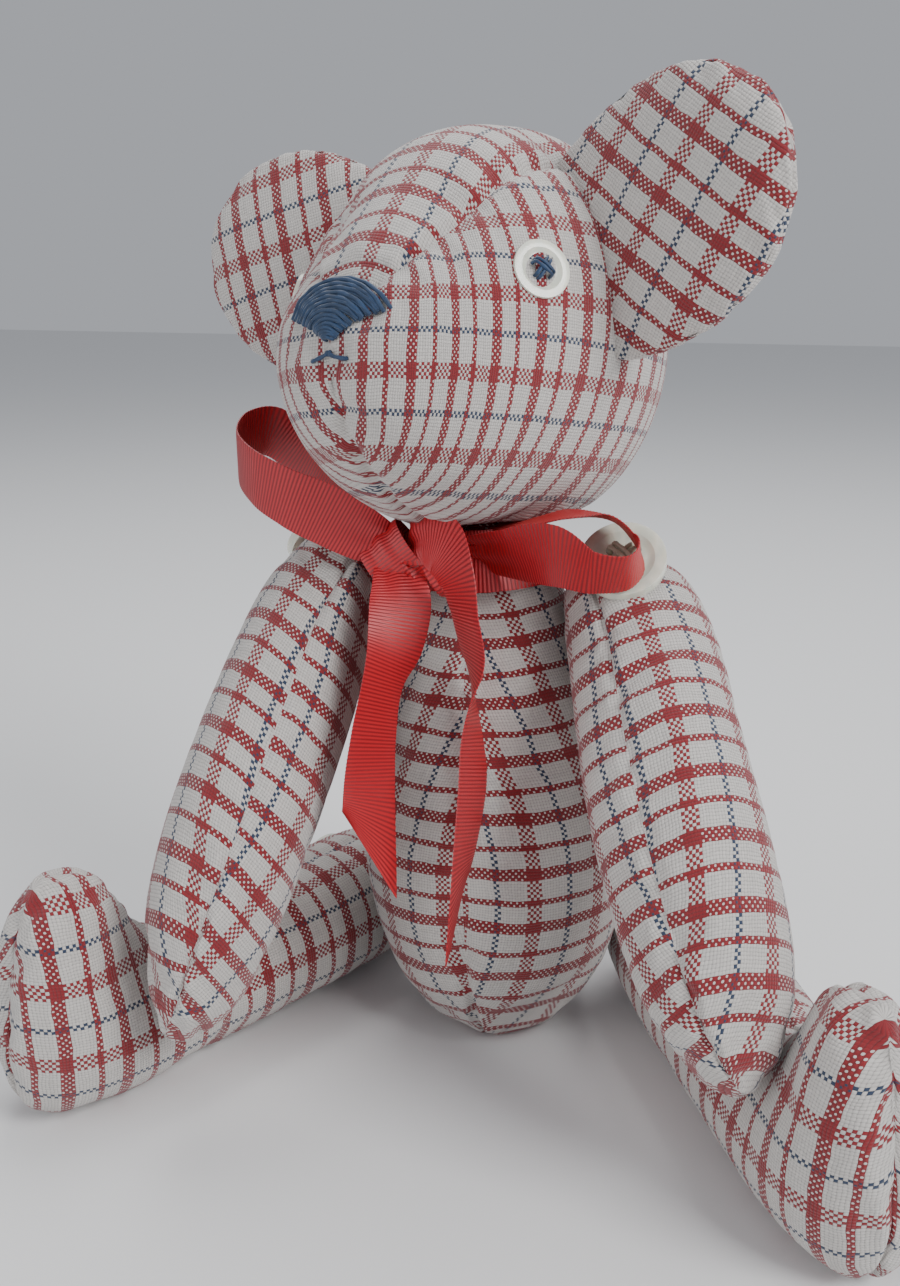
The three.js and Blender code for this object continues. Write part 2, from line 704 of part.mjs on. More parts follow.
// the gusset is narrow at the nose, wide between the ears and narrow again at the nape
const gussetEdge = (share) => radians(GUSSET_ANGLE) * Math.sin(Math.PI * (0.12 + share * 0.8));
const gussetFrom = (share) => -gussetEdge(share);
const underHead = () => Math.PI;
addPiece("head_gusset", panelGeometry(headForm, gussetFrom, gussetEdge), CHECK_CLOTH);
const neckHole = pinHole(-3, 12);
addPiece("head_side_left", cut(panelGeometry(headForm, gussetEdge, underHead), [neckHole]), CHECK_CLOTH);
addPiece("head_side_right",
  cut(panelGeometry(headForm, (share) => -Math.PI, gussetFrom), [neckHole]), CHECK_CLOTH);
const headSpread = (share, j) => {
  const edge = gussetEdge(share);
  if (j < COLUMNS) {
    return -edge + (2 * edge * j) / COLUMNS;
  }
  return edge + ((2 * Math.PI - 2 * edge) * (j - COLUMNS)) / (2 * COLUMNS);
};
const headFacets = { columns: 3 * COLUMNS, spread: headSpread };
addPiece("head_stuffing",
  cut(solidGeometry(headForm, CLOTH + STUFFING_GAP, headFacets), headCavity), WADDING);

// ---------- Ears ----------

const halfEar = EAR_WIDTH / 2;
const halfEarThickness = EAR_THICKNESS / 2;
const earRows = [
  [0.0, 0.8, 0.0, -0.8, 0.9],
  [0.25, 0.97, 0.25, -0.97, 1.0],
  [0.55, 1.0, 0.55, -1.0, 1.0],
  [0.8, 0.82, 0.8, -0.82, 0.9],
  [0.95, 0.5, 0.95, -0.5, 0.7],
  [1.0, 0.14, 1.0, -0.14, 0.4],
];
const earTable = earRows.map(([a, b, c, d, thick]) => [
  a * EAR_REACH, b * halfEar, c * EAR_REACH, d * halfEar, thick * halfEarThickness]);
const headCutter = solidGeometry(headForm, -TOUCH_GAP, { rows: 20, columns: 24 });

[["left", 1], ["right", -1]].forEach(([side, sign]) => {
  // the ear stands out and up from the head's upper corner, and faces forwards
  const away = vec(sign * 0.94, -0.2, 0.34).normalize();
  const across = vec(sign * -0.34, 0, 0.94).normalize();
  const face = away.clone().cross(across).multiplyScalar(-sign).normalize();
  const base = vec(sign * halfHead * 0.66, -EAR_FORWARD, halfHeight * 0.3);
  const local = new THREE.Matrix4().makeBasis(face, away, across).setPosition(base);
  const place = headPlace.clone().multiply(local);
  const form = stuffedForm(earTable, place);
  const frontHalf = face.y < 0 ? [none, half] : [half, full];
  const backHalf = face.y < 0 ? [half, full] : [none, half];
  const options = { rows: 7, columns: 7 };
  const halfSpace = (towards) => {
    const size = 3 * EAR_REACH;
    const block = new THREE.BoxGeometry(size, size, size);
    return outward(block.translate((towards * (size - SEAM_GAP)) / 2, 0, 0).applyMatrix4(place));
  };
  const towards = face.y < 0 ? 1 : -1;
  const front = cut(panelGeometry(form, ...frontHalf, options), [headCutter, halfSpace(-towards)]);
  const back = cut(panelGeometry(form, ...backHalf, options), [headCutter, halfSpace(towards)]);
  const wadding = solidGeometry(form, CLOTH + SEAM_GAP, { rows: 7, columns: 14 });
  addPiece(`ear_${side}_front`, front, CHECK_CLOTH);
  addPiece(`ear_${side}_back`, back, CHECK_CLOTH);
  addPiece(`ear_${side}_wadding`, mainPiece(cut(wadding, [headCutter])), WADDING);
});

// ---------- Face ----------

const EYE_SHARE = 0.37;
const EYE_ANGLE = 74;
[["left", 1], ["right", -1]].forEach(([side, sign]) => {
  const angle = radians(sign * EYE_ANGLE);
  const face = headForm.sunk(EYE_SHARE, angle, -1).sub(headForm.sunk(EYE_SHARE, angle, 0)).normalize();
  const point = headForm.sunk(EYE_SHARE, angle, -TOUCH_GAP - 0.5);
  sewButton(`eye_button_${side}`, `eye_thread_${side}`, EYE_BUTTON, point, face, neckUp, NAVY_THREAD);
});

const noseOptions = { rows: 6, columns: 8, start: 0, end: 0.14, thickness: NOSE_THREAD_DEPTH,
  depth: -TOUCH_GAP - NOSE_THREAD_DEPTH, gap: 0 };
const noseEdge = (share) => 0.8 - share;
addPiece("nose_stitching",
  panelGeometry(headForm, (share) => -noseEdge(share), noseEdge, noseOptions), NAVY_THREAD);

const mouthPoint = (share, angle) =>
  headForm.sunk(share, Math.PI + angle, -TOUCH_GAP - MOUTH_THREAD / 2);
addPiece("mouth_stitching",
  cordGeometry([mouthPoint(0.1, 1.0), mouthPoint(0.07, 0.7), mouthPoint(0.03, 0.0),
    mouthPoint(0.07, -0.7), mouthPoint(0.1, -1.0)], MOUTH_THREAD, 6, 12), NAVY_THREAD);

// ---------- Ribbon ----------

// One length of ribbon through stations: a point on its middle line, and the direction of its width.
function ribbonStrip(stations, steps, taper = 0) {
  const read = smoothRows(stations);
  const middle = (share) => vec(...read(share).slice(0, 3));
  const grid = (side) => {
    const lines = [];
    for (let i = 0; i <= steps; i += 1) {
      const share = i / steps;
      const run = middle(Math.min(1, share + 0.01)).sub(middle(Math.max(0, share - 0.01)));
      const width = vec(...read(share).slice(3)).normalize();
      const skin = run.cross(width).normalize().multiplyScalar((side * RIBBON_THICKNESS) / 2);
      const slant = i === steps ? taper : 0;
      const back = middle(share - 0.02 * slant).sub(middle(share)).multiplyScalar(5);
      const first = middle(share).addScaledVector(width, -RIBBON_WIDTH / 2).add(skin);
      const last = middle(share).addScaledVector(width, RIBBON_WIDTH / 2).add(skin);
      lines.push([first, last.add(back)]);
    }
    return lines;
  };
  return slabGeometry(grid(1), grid(-1));
}

const bandRadius = halfNeck * 1.18;
const bandTop = -TOUCH_GAP - 0.6;
const bandStations = [];
for (let k = 0; k <= 12; k += 1) {
  const angle = radians(KNOT_ANGLE + 8 + (344 * k) / 12);
  const spoke = vec(Math.sin(angle), -Math.cos(angle), 0).applyMatrix4(lean);
  const middle = alongNeck(bandTop - RIBBON_WIDTH / 2).addScaledVector(spoke, bandRadius);
  const width = neckUp.clone().addScaledVector(spoke, -0.38);
  bandStations.push([...middle.toArray(), ...width.toArray()]);
}
const knotSpoke = vec(Math.sin(radians(KNOT_ANGLE)), -Math.cos(radians(KNOT_ANGLE)), 0).applyMatrix4(lean);
const knotCentre = alongNeck(-RIBBON_WIDTH * 0.54)
  .addScaledVector(knotSpoke, bandRadius + KNOT_WIDTH * 0.42);
const knot = new THREE.SphereGeometry(KNOT_WIDTH / 2, 10, 8);
knot.scale(1, 0.9, 1.4).translate(...knotCentre.toArray());

// stations measured from the knot, as shares of a length, then the direction of the ribbon's width
const fromKnot = (length, rows) => rows.map(([x, y, z, ...width]) =>
  [knotCentre.x + x * length, knotCentre.y + y * length, knotCentre.z + z * length, ...width]);
const rightLoop = fromKnot(LOOP_LENGTH, [
  [0.03, -0.01, 0.01, 0.1, 0, 1],
  [-0.2, -0.12, 0.04, 0.15, -0.05, 1],
  [-0.45, -0.2, 0.13, 0.3, -0.1, 0.95],
  [-0.68, -0.16, 0.32, 0.7, -0.1, 0.7],
  [-0.78, -0.02, 0.55, 0.8, -0.1, 0.6],
  [-0.68, 0.08, 0.62, 0.7, -0.3, 0.6],
  [-0.48, 0.06, 0.4, 0.5, -0.5, 0.7],
  [-0.24, 0.02, 0.16, 0.3, -0.3, 0.9],
  [0.02, 0.03, 0.05, 0.1, 0, 1],
]);
const leftLoop = fromKnot(LOOP_LENGTH, [
  [-0.02, 0.02, 0, 0, 0.02, 1],
  [0.25, -0.06, 0.06, 0, -0.1, 1],
  [0.6, -0.08, 0.16, 0, -0.5, 1],
  [0.95, -0.1, 0.2, 0.1, -0.9, 1],
  [1.2, -0.2, 0.08, 0.1, -0.9, 1],
  [1.12, -0.34, -0.06, 0, -0.6, 1],
  [0.75, -0.4, -0.06, 0, -0.3, 1],
  [0.35, -0.26, -0.02, 0, 0, 1],
  [-0.03, -0.03, -0.01, 0.03, 0, 1],
]);
const rightTail = fromKnot(TAIL_LENGTH, [
  [0, 0, 0, 1, 0.2, 0],
  [0.01, -0.08, -0.18, 1, 0.3, 0],
  [-0.02, -0.14, -0.42, 1, 0.4, 0],
  [-0.07, -0.22, -0.66, 1, 0.4, 0.1],
  [-0.03, -0.3, -0.86, 1, 0.3, 0.2],
]);
const leftTail = fromKnot(TAIL_LENGTH, [
  [0, 0, 0, 0.6, 0.6, 0],
  [0.16, -0.1, 0.06, 0.5, 0.9, -0.2],
  [0.28, -0.16, -0.16, 0.2, 1, 0],
  [0.3, -0.22, -0.46, 0.2, 1, 0],
  [0.25, -0.28, -0.74, 0.5, 0.8, 0],
  [0.22, -0.36, -1.02, 0.5, 0.8, 0],
]);
besideRibbon.push(solidGeometry(bodyForm, -TOUCH_GAP), solidGeometry(headForm, -TOUCH_GAP, headFacets));
const bow = join([
  toGeometry(toSolid(knot)),
  ribbonStrip(bandStations, 24),
  ribbonStrip(rightLoop, 24),
  ribbonStrip(leftLoop, 24),
  ribbonStrip(rightTail, 12, 1),
  ribbonStrip(leftTail, 16, -1),
]);
addPiece("ribbon_bow", mainPiece(cut(bow, besideRibbon)), RED_RIBBON);

// ---------- Frame ----------

// the joints' places and directions travel with the model, which stands over the middle of its box
joints.neck = { pivot: neckTop, axis: neckUp };
const model = new THREE.Group();
model.add(bear);
const extent = new THREE.Box3().setFromObject(bear);
const middle = extent.getCenter(vec());
bear.position.set(-middle.x, -middle.y, -extent.min.z);
Object.values(joints).forEach(({ pivot }) => pivot.add(bear.position));
model.userData.joints = joints;

export default model;
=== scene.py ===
# %% [markdown]
# # A jointed teddy bear in woven check cloth
# This notebook dresses the engineering model of a sewn bear. The model gives the size, the joints and
# the plain solids. Here each cloth skin is laid over its solid, puffed out by its stuffing, and given a
# real weave. Lengths are worked out in millimetres, because that is how cloth and buttons are measured,
# and turned to metres only when a mesh is made.

# %% Load the frame
import bpy
import json
import math
import numpy as np
from mathutils import Matrix, Vector, noise


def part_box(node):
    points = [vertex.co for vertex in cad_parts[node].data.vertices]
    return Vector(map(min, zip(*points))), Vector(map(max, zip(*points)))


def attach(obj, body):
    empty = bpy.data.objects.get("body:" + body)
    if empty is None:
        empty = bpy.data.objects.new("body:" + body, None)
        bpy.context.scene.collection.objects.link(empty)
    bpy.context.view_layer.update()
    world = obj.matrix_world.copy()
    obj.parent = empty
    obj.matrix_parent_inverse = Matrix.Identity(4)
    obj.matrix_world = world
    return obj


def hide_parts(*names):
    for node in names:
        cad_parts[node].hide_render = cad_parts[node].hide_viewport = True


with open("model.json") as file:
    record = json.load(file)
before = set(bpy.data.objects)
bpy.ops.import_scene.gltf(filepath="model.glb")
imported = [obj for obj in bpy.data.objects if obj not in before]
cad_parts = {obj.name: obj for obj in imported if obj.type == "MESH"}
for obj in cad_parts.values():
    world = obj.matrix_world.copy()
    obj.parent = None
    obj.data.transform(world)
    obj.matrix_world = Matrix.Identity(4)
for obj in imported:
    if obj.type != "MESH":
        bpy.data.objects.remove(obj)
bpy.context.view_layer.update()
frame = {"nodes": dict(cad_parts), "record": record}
MM = 0.001
record = frame["record"]
joints = {joint["name"]: joint for joint in record["behaviour"]["joints"]}

# %% [markdown]
# ## Small helpers
# Operators act on whatever is selected, so everything is deselected before a new piece is made. A
# finished piece keeps its object at the origin, unturned, with its place in its mesh.

# %% Helpers for objects
def select_only(*objects):
    bpy.ops.object.select_all(action="DESELECT")
    for thing in objects:
        thing.select_set(True)
    bpy.context.view_layer.objects.active = objects[0] if objects else None


def apply_modifiers(thing):
    select_only(thing)
    for modifier in list(thing.modifiers):
        bpy.ops.object.modifier_apply(modifier=modifier.name)


def settle(thing):
    """Puts an object's place, turn and size into its mesh."""
    select_only(thing)
    bpy.ops.object.transform_apply(location=True, rotation=True, scale=True)


def new_mesh(name, points_mm, faces):
    mesh = bpy.data.meshes.new(name)
    mesh.from_pydata([tuple(p) for p in np.asarray(points_mm) * MM], [], faces)
    mesh.validate()
    thing = bpy.data.objects.new(name, mesh)
    bpy.context.collection.objects.link(thing)
    return thing


def shade_smooth(thing, angle=None):
    select_only(thing)
    if angle is None:
        bpy.ops.object.shade_smooth()
    else:
        bpy.ops.object.shade_smooth_by_angle(angle=math.radians(angle))


def recalculate_outside(thing):
    select_only(thing)
    bpy.ops.object.mode_set(mode="EDIT")
    bpy.ops.mesh.select_all(action="SELECT")
    bpy.ops.mesh.normals_make_consistent(inside=False)
    bpy.ops.object.mode_set(mode="OBJECT")


# %% [markdown]
# ### Small sums
# Directions are kept one unit long, and a length along a line is added up from point to point. Both are
# needed for cloth, ribbon and thread alike.

# %% Small sums
def unit(vector):
    vector = np.asarray(vector, float)
    return vector / np.linalg.norm(vector)


def unit_rows(vectors):
    """The same directions, each one unit long. The last axis holds x, y and z."""
    return vectors / np.maximum(np.linalg.norm(vectors, axis=-1, keepdims=True), 1e-9)


def running_length(line):
    """How far along a line of points each point is."""
    return np.concatenate([[0], np.cumsum(np.linalg.norm(np.diff(line, axis=0), axis=1))])


def joint_place(name):
    return np.array(joints[name]["pos_m"]) / MM


# %% [markdown]
# ## Camera
# The camera comes first, because it settles which details are seen close up. It looks down a little
# from the bear's left front, from about a forearm's length away.

# %% Camera
CAMERA_PLACE = (78.2, -274.3, 198.0)
CAMERA_AZIMUTH = 18.0
CAMERA_PITCH = 17.0
SENSOR_HEIGHT = 36.0
LENS = 34.9922

camera_data = bpy.data.cameras.new("camera")
camera_data.sensor_fit = "VERTICAL"
camera_data.sensor_height = SENSOR_HEIGHT
camera_data.sensor_width = SENSOR_HEIGHT
camera_data.lens = LENS
camera_data.clip_start = 0.01
camera = bpy.data.objects.new("camera", camera_data)
bpy.context.collection.objects.link(camera)
camera.location = Vector(CAMERA_PLACE) * MM
azimuth = math.radians(CAMERA_AZIMUTH)
pitch = math.radians(CAMERA_PITCH)
looking = Vector((-math.sin(azimuth) * math.cos(pitch), math.cos(azimuth) * math.cos(pitch),
                  -math.sin(pitch)))
camera.rotation_mode = "QUATERNION"
camera.rotation_quaternion = looking.to_track_quat("-Z", "Y")
bpy.context.scene.camera = camera
print("camera", [round(v, 3) for v in camera.location])

# %% [markdown]
# ## Light and floor
# A large soft light from the right and behind models the room's window, a weaker one fills from the
# left, and the world lifts the shadows. The floor is a plain pale sheet that is not part of the bear.
# The room's places and sizes are in metres.

# %% Light and floor
def area_light(name, place, target, size, power):
    light = bpy.data.lights.new(name, "AREA")
    light.shape = "SQUARE"
    light.size = size
    light.energy = power
    lamp = bpy.data.objects.new(name, light)
    bpy.context.collection.objects.link(lamp)
    lamp.location = place
    lamp.rotation_mode = "QUATERNION"
    lamp.rotation_quaternion = (Vector(target) - Vector(place)).to_track_quat("-Z", "Y")
    return lamp


area_light("key_light", (0.85, -0.35, 0.75), (0, 0, 0.1), 0.5, 11)
area_light("fill_light", (-0.7, -0.9, 0.5), (0, 0, 0.12), 0.9, 5)
area_light("top_light", (-0.1, 0.35, 1.0), (0, 0, 0.1), 0.6, 5)

world = bpy.data.worlds.new("studio")
bpy.context.scene.world = world
world.use_nodes = True
sky = world.node_tree.nodes["Background"]
sky.inputs["Color"].default_value = (0.9, 0.93, 1.0, 1)
sky.inputs["Strength"].default_value = 0.45

select_only()
bpy.ops.mesh.primitive_plane_add(size=6, location=(0, 0, 0))
floor = bpy.context.active_object
floor.name = "floor"

# %% [markdown]
# ## Materials
# Every colour is a hex value chosen for its cloth, thread or button, and one function turns it to the
# linear values a shader needs. One helper adds a node with its settings and links.

# %% Colour and node helpers
def linear(hex_colour):
    parts = [int(hex_colour[i:i + 2], 16) / 255 for i in (1, 3, 5)]
    return tuple(p / 12.92 if p <= 0.04045 else ((p + 0.055) / 1.055) ** 2.4 for p in parts) + (1.0,)


def node(tree, kind, inputs=None, **settings):
    """Adds a node. inputs maps a socket's name or number to a value or to another node's output."""
    made = tree.nodes.new(kind)
    for key, value in settings.items():
        setattr(made, key, value)
    for key, value in (inputs or {}).items():
        socket = made.inputs[key]
        if isinstance(value, bpy.types.NodeSocket):
            tree.links.new(value, socket)
        else:
            socket.default_value = value
    return made


def new_material(name, roughness, ior=1.5, **sockets):
    material = bpy.data.materials.new(name)
    material.use_nodes = True
    shader = material.node_tree.nodes["Principled BSDF"]
    shader.inputs["Roughness"].default_value = roughness
    shader.inputs["IOR"].default_value = ior
    for key, value in sockets.items():
        shader.inputs[key.replace("_", " ")].default_value = value
    return material, material.node_tree, shader


def math_node(tree, operation, first, second=0.0, third=0.0):
    return node(tree, "ShaderNodeMath", {0: first, 1: second, 2: third}, operation=operation).outputs[0]


def mix_colour(tree, factor, first, second, blend="MIX"):
    # a mix node's colours are its sockets 6 and 7, and its mixed colour is output 2
    made = node(tree, "ShaderNodeMix", {0: factor, 6: first, 7: second}, data_type="RGBA",
                blend_type=blend)
    return made.outputs[2]


def object_place(tree):
    return node(tree, "ShaderNodeTexCoord").outputs["Object"]


def add_bump(tree, shader, height, strength, distance_mm):
    bump = node(tree, "ShaderNodeBump", {"Height": height, "Strength": strength,
                                         "Distance": distance_mm * MM})
    tree.links.new(bump.outputs[0], shader.inputs["Normal"])


# %% [markdown]
# ### Check cloth
# The cloth is plain-woven cotton, about 14 yarns to the centimetre each way. Its check is made only by
# the order of coloured yarns, so the shader does what a loom does: it finds which yarn runs each way at
# a point, decides which of the two lies on top, and shows that yarn's colour and roundness. The
# coordinates are the flat cloth's own, in millimetres, so the check bends with each sewn piece.
# Across the cloth lie a thick red line and a thin one in turn. Along it lie a red and white checker
# band and a thin navy line in turn.

# %% Check cloth
YARN = 0.72            # mm from yarn to yarn
ACROSS_REPEAT = 19     # yarns from one thick red line to the next, 13.7 mm
ALONG_REPEAT = 25      # yarns from one checker band to the next, 18 mm
COTTON_WHITE = "#C9C4BF"
COTTON_RED = "#86101A"
COTTON_NAVY = "#22344F"


def build_check_cloth(name):
    material, tree, shader = new_material(name, 0.88, 1.47, Sheen_Weight=0.25, Sheen_Roughness=0.6)
    flat = node(tree, "ShaderNodeUVMap", uv_map="cloth").outputs[0]
    wander = node(tree, "ShaderNodeTexNoise", {"Vector": flat, "Scale": 0.16, "Detail": 2.0})
    centred = node(tree, "ShaderNodeVectorMath", {0: wander.outputs["Color"], 1: (0.5, 0.5, 0.5)},
                   operation="SUBTRACT").outputs[0]
    shaken = node(tree, "ShaderNodeVectorMath", {0: centred, 1: (1.1, 1.1, 0), 2: flat},
                  operation="MULTIPLY_ADD").outputs[0]
    apart = node(tree, "ShaderNodeSeparateXYZ", {0: shaken})
    u = math_node(tree, "DIVIDE", apart.outputs[0], YARN)
    v = math_node(tree, "DIVIDE", apart.outputs[1], YARN)
    yarn_u = math_node(tree, "FLOOR", u)
    yarn_v = math_node(tree, "FLOOR", v)
    inside_u = math_node(tree, "SUBTRACT", u, yarn_u)
    inside_v = math_node(tree, "SUBTRACT", v, yarn_v)
    # 1 on every second crossing, where plain weave brings the yarn that runs along the cloth to the top
    parity = math_node(tree, "FLOORED_MODULO", math_node(tree, "ADD", yarn_u, yarn_v), 2.0)
    place_u = math_node(tree, "FLOORED_MODULO", yarn_u, float(ALONG_REPEAT))
    place_v = math_node(tree, "FLOORED_MODULO", yarn_v, float(ACROSS_REPEAT))

    def within(place, first, last):
        """1 where a yarn's number is from first up to, not including, last."""
        return math_node(tree, "MULTIPLY", math_node(tree, "GREATER_THAN", place, first - 0.5),
                         math_node(tree, "LESS_THAN", place, last - 0.5))

    band = within(place_u, 3, 8)
    navy = within(place_u, 17, 19)
    thick = within(place_v, 2, 6)
    thin = within(place_v, 12, 14)
    red_across = math_node(tree, "MAXIMUM", thick, thin)
    white = linear(COTTON_WHITE)
    red = linear(COTTON_RED)
    along_colour = mix_colour(tree, band, white, red)
    along_colour = mix_colour(tree, navy, along_colour, linear(COTTON_NAVY))
    across_colour = mix_colour(tree, red_across, white, red)

    # a red line's yarns are beaten close, so only a dot of the yarn below shows between them
    def arch(value):
        return math_node(tree, "SINE", math_node(tree, "MULTIPLY", value, math.pi))

    arch_u = arch(inside_u)
    arch_v = arch(inside_v)
    dot = math_node(tree, "GREATER_THAN", math_node(tree, "MULTIPLY", arch_u, arch_v), 0.5)
    on_top = math_node(tree, "MULTIPLY", parity,
                       math_node(tree, "MAXIMUM", dot, math_node(tree, "SUBTRACT", 1.0, red_across)))
    colour = mix_colour(tree, on_top, across_colour, along_colour)

    # height of the top yarn: round across its width and arched along its length
    round_along = math_node(tree, "MULTIPLY", math_node(tree, "POWER", arch_u, 0.5),
                            math_node(tree, "MULTIPLY_ADD", arch_v, 0.45, 0.55))
    round_across = math_node(tree, "MULTIPLY", math_node(tree, "POWER", arch_v, 0.5),
                             math_node(tree, "MULTIPLY_ADD", arch_u, 0.45, 0.55))
    height = node(tree, "ShaderNodeMix", {0: on_top, 2: round_across, 3: round_along}).outputs[0]

    # each yarn is spun a little lighter or darker than the next
    shade_u = node(tree, "ShaderNodeTexWhiteNoise", {"W": yarn_u}, noise_dimensions="1D").outputs[0]
    shade_v = node(tree, "ShaderNodeTexWhiteNoise", {"W": yarn_v}, noise_dimensions="1D").outputs[0]
    shade = node(tree, "ShaderNodeMix", {0: on_top, 2: shade_v, 3: shade_u}).outputs[0]
    slub = node(tree, "ShaderNodeTexNoise", {"Vector": flat, "Scale": 1.1, "Detail": 3.0}).outputs[0]
    tone = math_node(tree, "MULTIPLY_ADD", shade, 0.1, 0.86)
    tone = math_node(tree, "ADD", tone, math_node(tree, "MULTIPLY_ADD", slub, 0.22, -0.11))
    # painted shade: the cloth is darkened where the top yarn's height is low, at its edges and in the dips
    # between yarns
    painted_weave_gap_shade = node(tree, "ShaderNodeMapRange", {0: height, 1: 0.1, 2: 0.62, 3: 0.5, 4: 1.0}).outputs[0]
    tone = math_node(tree, "MULTIPLY", tone, painted_weave_gap_shade)
    grey = node(tree, "ShaderNodeCombineXYZ", {0: tone, 1: tone, 2: tone}).outputs[0]
    final = mix_colour(tree, 1.0, colour, grey, "MULTIPLY")
    tree.links.new(final, shader.inputs["Base Color"])
    add_bump(tree, shader, height, 0.55, 0.35)
    return material


CHECK = build_check_cloth("plain_woven_check_cotton")
print("check cloth", len(CHECK.node_tree.nodes), "nodes")

# %% [markdown]
# ## Stuffed forms
# A sewn and stuffed piece is drawn as stations along its length. Each station gives the two seam edges
# and half the thickness between them, and a smooth curve joins the stations, as a maker joins marks on
# a pattern. The stations are those of the engineering model, so each skin fits its solid.

# %% A smooth curve through stations
def smooth_rows(rows, shares):
    """The stations' numbers at shares of the way along, on a Catmull-Rom curve."""
    rows = np.asarray(rows, float)
    last = len(rows) - 1
    spot = np.clip(np.asarray(shares, float), 0, 1) * last
    low = np.minimum(np.floor(spot).astype(int), last)
    t = (spot - low)[:, None]
    p0 = rows[np.maximum(low - 1, 0)]
    p1 = rows[low]
    p2 = rows[np.minimum(low + 1, last)]
    p3 = rows[np.minimum(low + 2, last)]
    v0 = (p2 - p0) / 2
    v1 = (p3 - p1) / 2
    return (2 * p1 - 2 * p2 + v0 + v1) * t ** 3 + (-3 * p1 + 3 * p2 - 2 * v0 - v1) * t ** 2 + v0 * t + p1


ROUND_STEPS = 24


class Form:
    """A stuffed form: stations, its own axes (thickness, along, across) and its place, in mm. A station
    is how far along and across one seam edge lies, the same for the other edge, half the thickness,
    and how far the form bows sideways there, if it does. press moves the points that rest on something."""

    def __init__(self, rows, axes, place, press=None):
        self.rows = [list(row) + [0.0] * (6 - len(row)) for row in rows]
        self.axes = np.array(axes, float)
        self.place = np.array(place, float)
        self.press = press

    def local(self, share, angle):
        a, b, c, d, half, bow = smooth_rows(self.rows, np.ravel(share)).T
        angle = np.ravel(angle)
        y = (a + c) / 2 + (a - c) / 2 * np.cos(angle)
        z = (b + d) / 2 + (b - d) / 2 * np.cos(angle)
        return np.stack([bow + half * np.sin(angle), y, z], 1)

    def at(self, share, angle):
        shape = np.shape(share)
        points = self.local(share, angle) @ self.axes + self.place
        if self.press is not None:
            points = self.press(points)
        return points.reshape(shape + (3,))

    def even_shares(self, count):
        """Shares spaced evenly along the form's side."""
        fine = np.linspace(0, 1, 600)
        line = (self.at(fine, np.full(len(fine), math.pi / 2)) + self.at(fine, np.zeros(len(fine)))) / 2
        run = running_length(line)
        return np.interp(np.linspace(0, run[-1], count), run, fine)

    def flat(self, share, angle, middle):
        """Where a point lies on its flat panel, in mm: how far across and how far along."""
        share = np.ravel(share)
        angle = np.ravel(angle)
        a, b, c, d, half, bow = smooth_rows(self.rows, share).T
        chord = np.hypot(a - c, b - d) / 2
        # the way round from the panel's middle is added up in small steps
        turn = middle + (angle - middle)[:, None] * (np.arange(ROUND_STEPS) + 0.5) / ROUND_STEPS
        speed = np.sqrt((chord[:, None] * np.sin(turn)) ** 2 + (half[:, None] * np.cos(turn)) ** 2)
        run = speed.mean(1) * (angle - middle)
        sign = -1.0 if math.sin(middle) > 0 else 1.0
        ya = np.where(chord > 1e-6, (a - c) / 2 / np.maximum(chord, 1e-6), 0)
        za = np.where(chord > 1e-6, (b - d) / 2 / np.maximum(chord, 1e-6), 1)
        return np.stack([(b + d) / 2 + za * sign * run, (a + c) / 2 + ya * sign * run], 1)


# %% [markdown]
# ### From form to skin
# Each skin is one closed mesh of squares. Its columns crowd together at the seams, where the cloth dips
# into a crease. Every panel keeps its flat coordinates in a UV map in millimetres, so the check stops
# and starts again at a seam, as it does where two cut pieces meet.

# %% Seams and flat patterns
SEAM_DEPTH = 1.7       # mm that a seam is drawn in
SEAM_SPREAD = 1.8      # mm over which the cloth dips to it
PUCKER = 0.45          # mm height of the small gathers beside a seam
GATHER_STEP = 0.55     # how fast the gathers change from row to row
PUCKER_START = 1.2     # mm from the seam where they begin
PUCKER_REACH = 5.5     # mm over which they die out
SEWN_REACH = 0.4       # mm from the seam within which the cloth is held
PLAIN_ROWS = 5         # rows at each end over which dips and gathers fade in
CROWDING = 0.62        # how much the columns crowd towards the seams, from 0 to 1
PLANE_STRETCH = 1.12   # a panel seen from its side holds more cloth than it shows, as it curves away


def panel_angles(start, end, columns):
    """Turns from seam to seam, crowded towards both."""
    t = np.linspace(0, 1, columns + 1)
    t = t - CROWDING * np.sin(2 * math.pi * t) / (2 * math.pi)
    return start + (end - start) * t


def seam_distance(points, firsts):
    """How far each point is from the nearest seam, along its own ring. firsts are the seams' columns."""
    steps = np.linalg.norm(np.roll(points, -1, 1) - points, axis=2)
    run = np.concatenate([np.zeros((len(points), 1)), np.cumsum(steps, 1)], 1)
    whole = run[:, -1:]
    far = np.full(points.shape[:2], np.inf)
    for seam in firsts:
        gap = np.abs(run[:, :-1] - run[:, seam:seam + 1])
        far = np.minimum(far, np.minimum(gap, whole - gap))
    return far


def sewn_relief(name, far, owner):
    """How far each point stands off the form, in mm: the dip along a seam and the gathers beside it."""
    rows = len(far) - 1
    row = np.arange(rows + 1)
    ends = np.clip(np.minimum(row, rows - row) / PLAIN_ROWS, 0, 1)[:, None]
    dip = SEAM_DEPTH * np.exp(-(far / SEAM_SPREAD) ** 2) * ends
    seed = sum(map(ord, name)) * 0.37
    wave = np.array([[noise.noise(Vector((i * GATHER_STEP, number * 9.1, seed))) for number in owner]
                     for i in row])
    near = np.exp(-(far / PUCKER_REACH) ** 2) * (1 - np.exp(-(far / PUCKER_START) ** 2))
    return 2 * PUCKER * wave * near * ends - dip


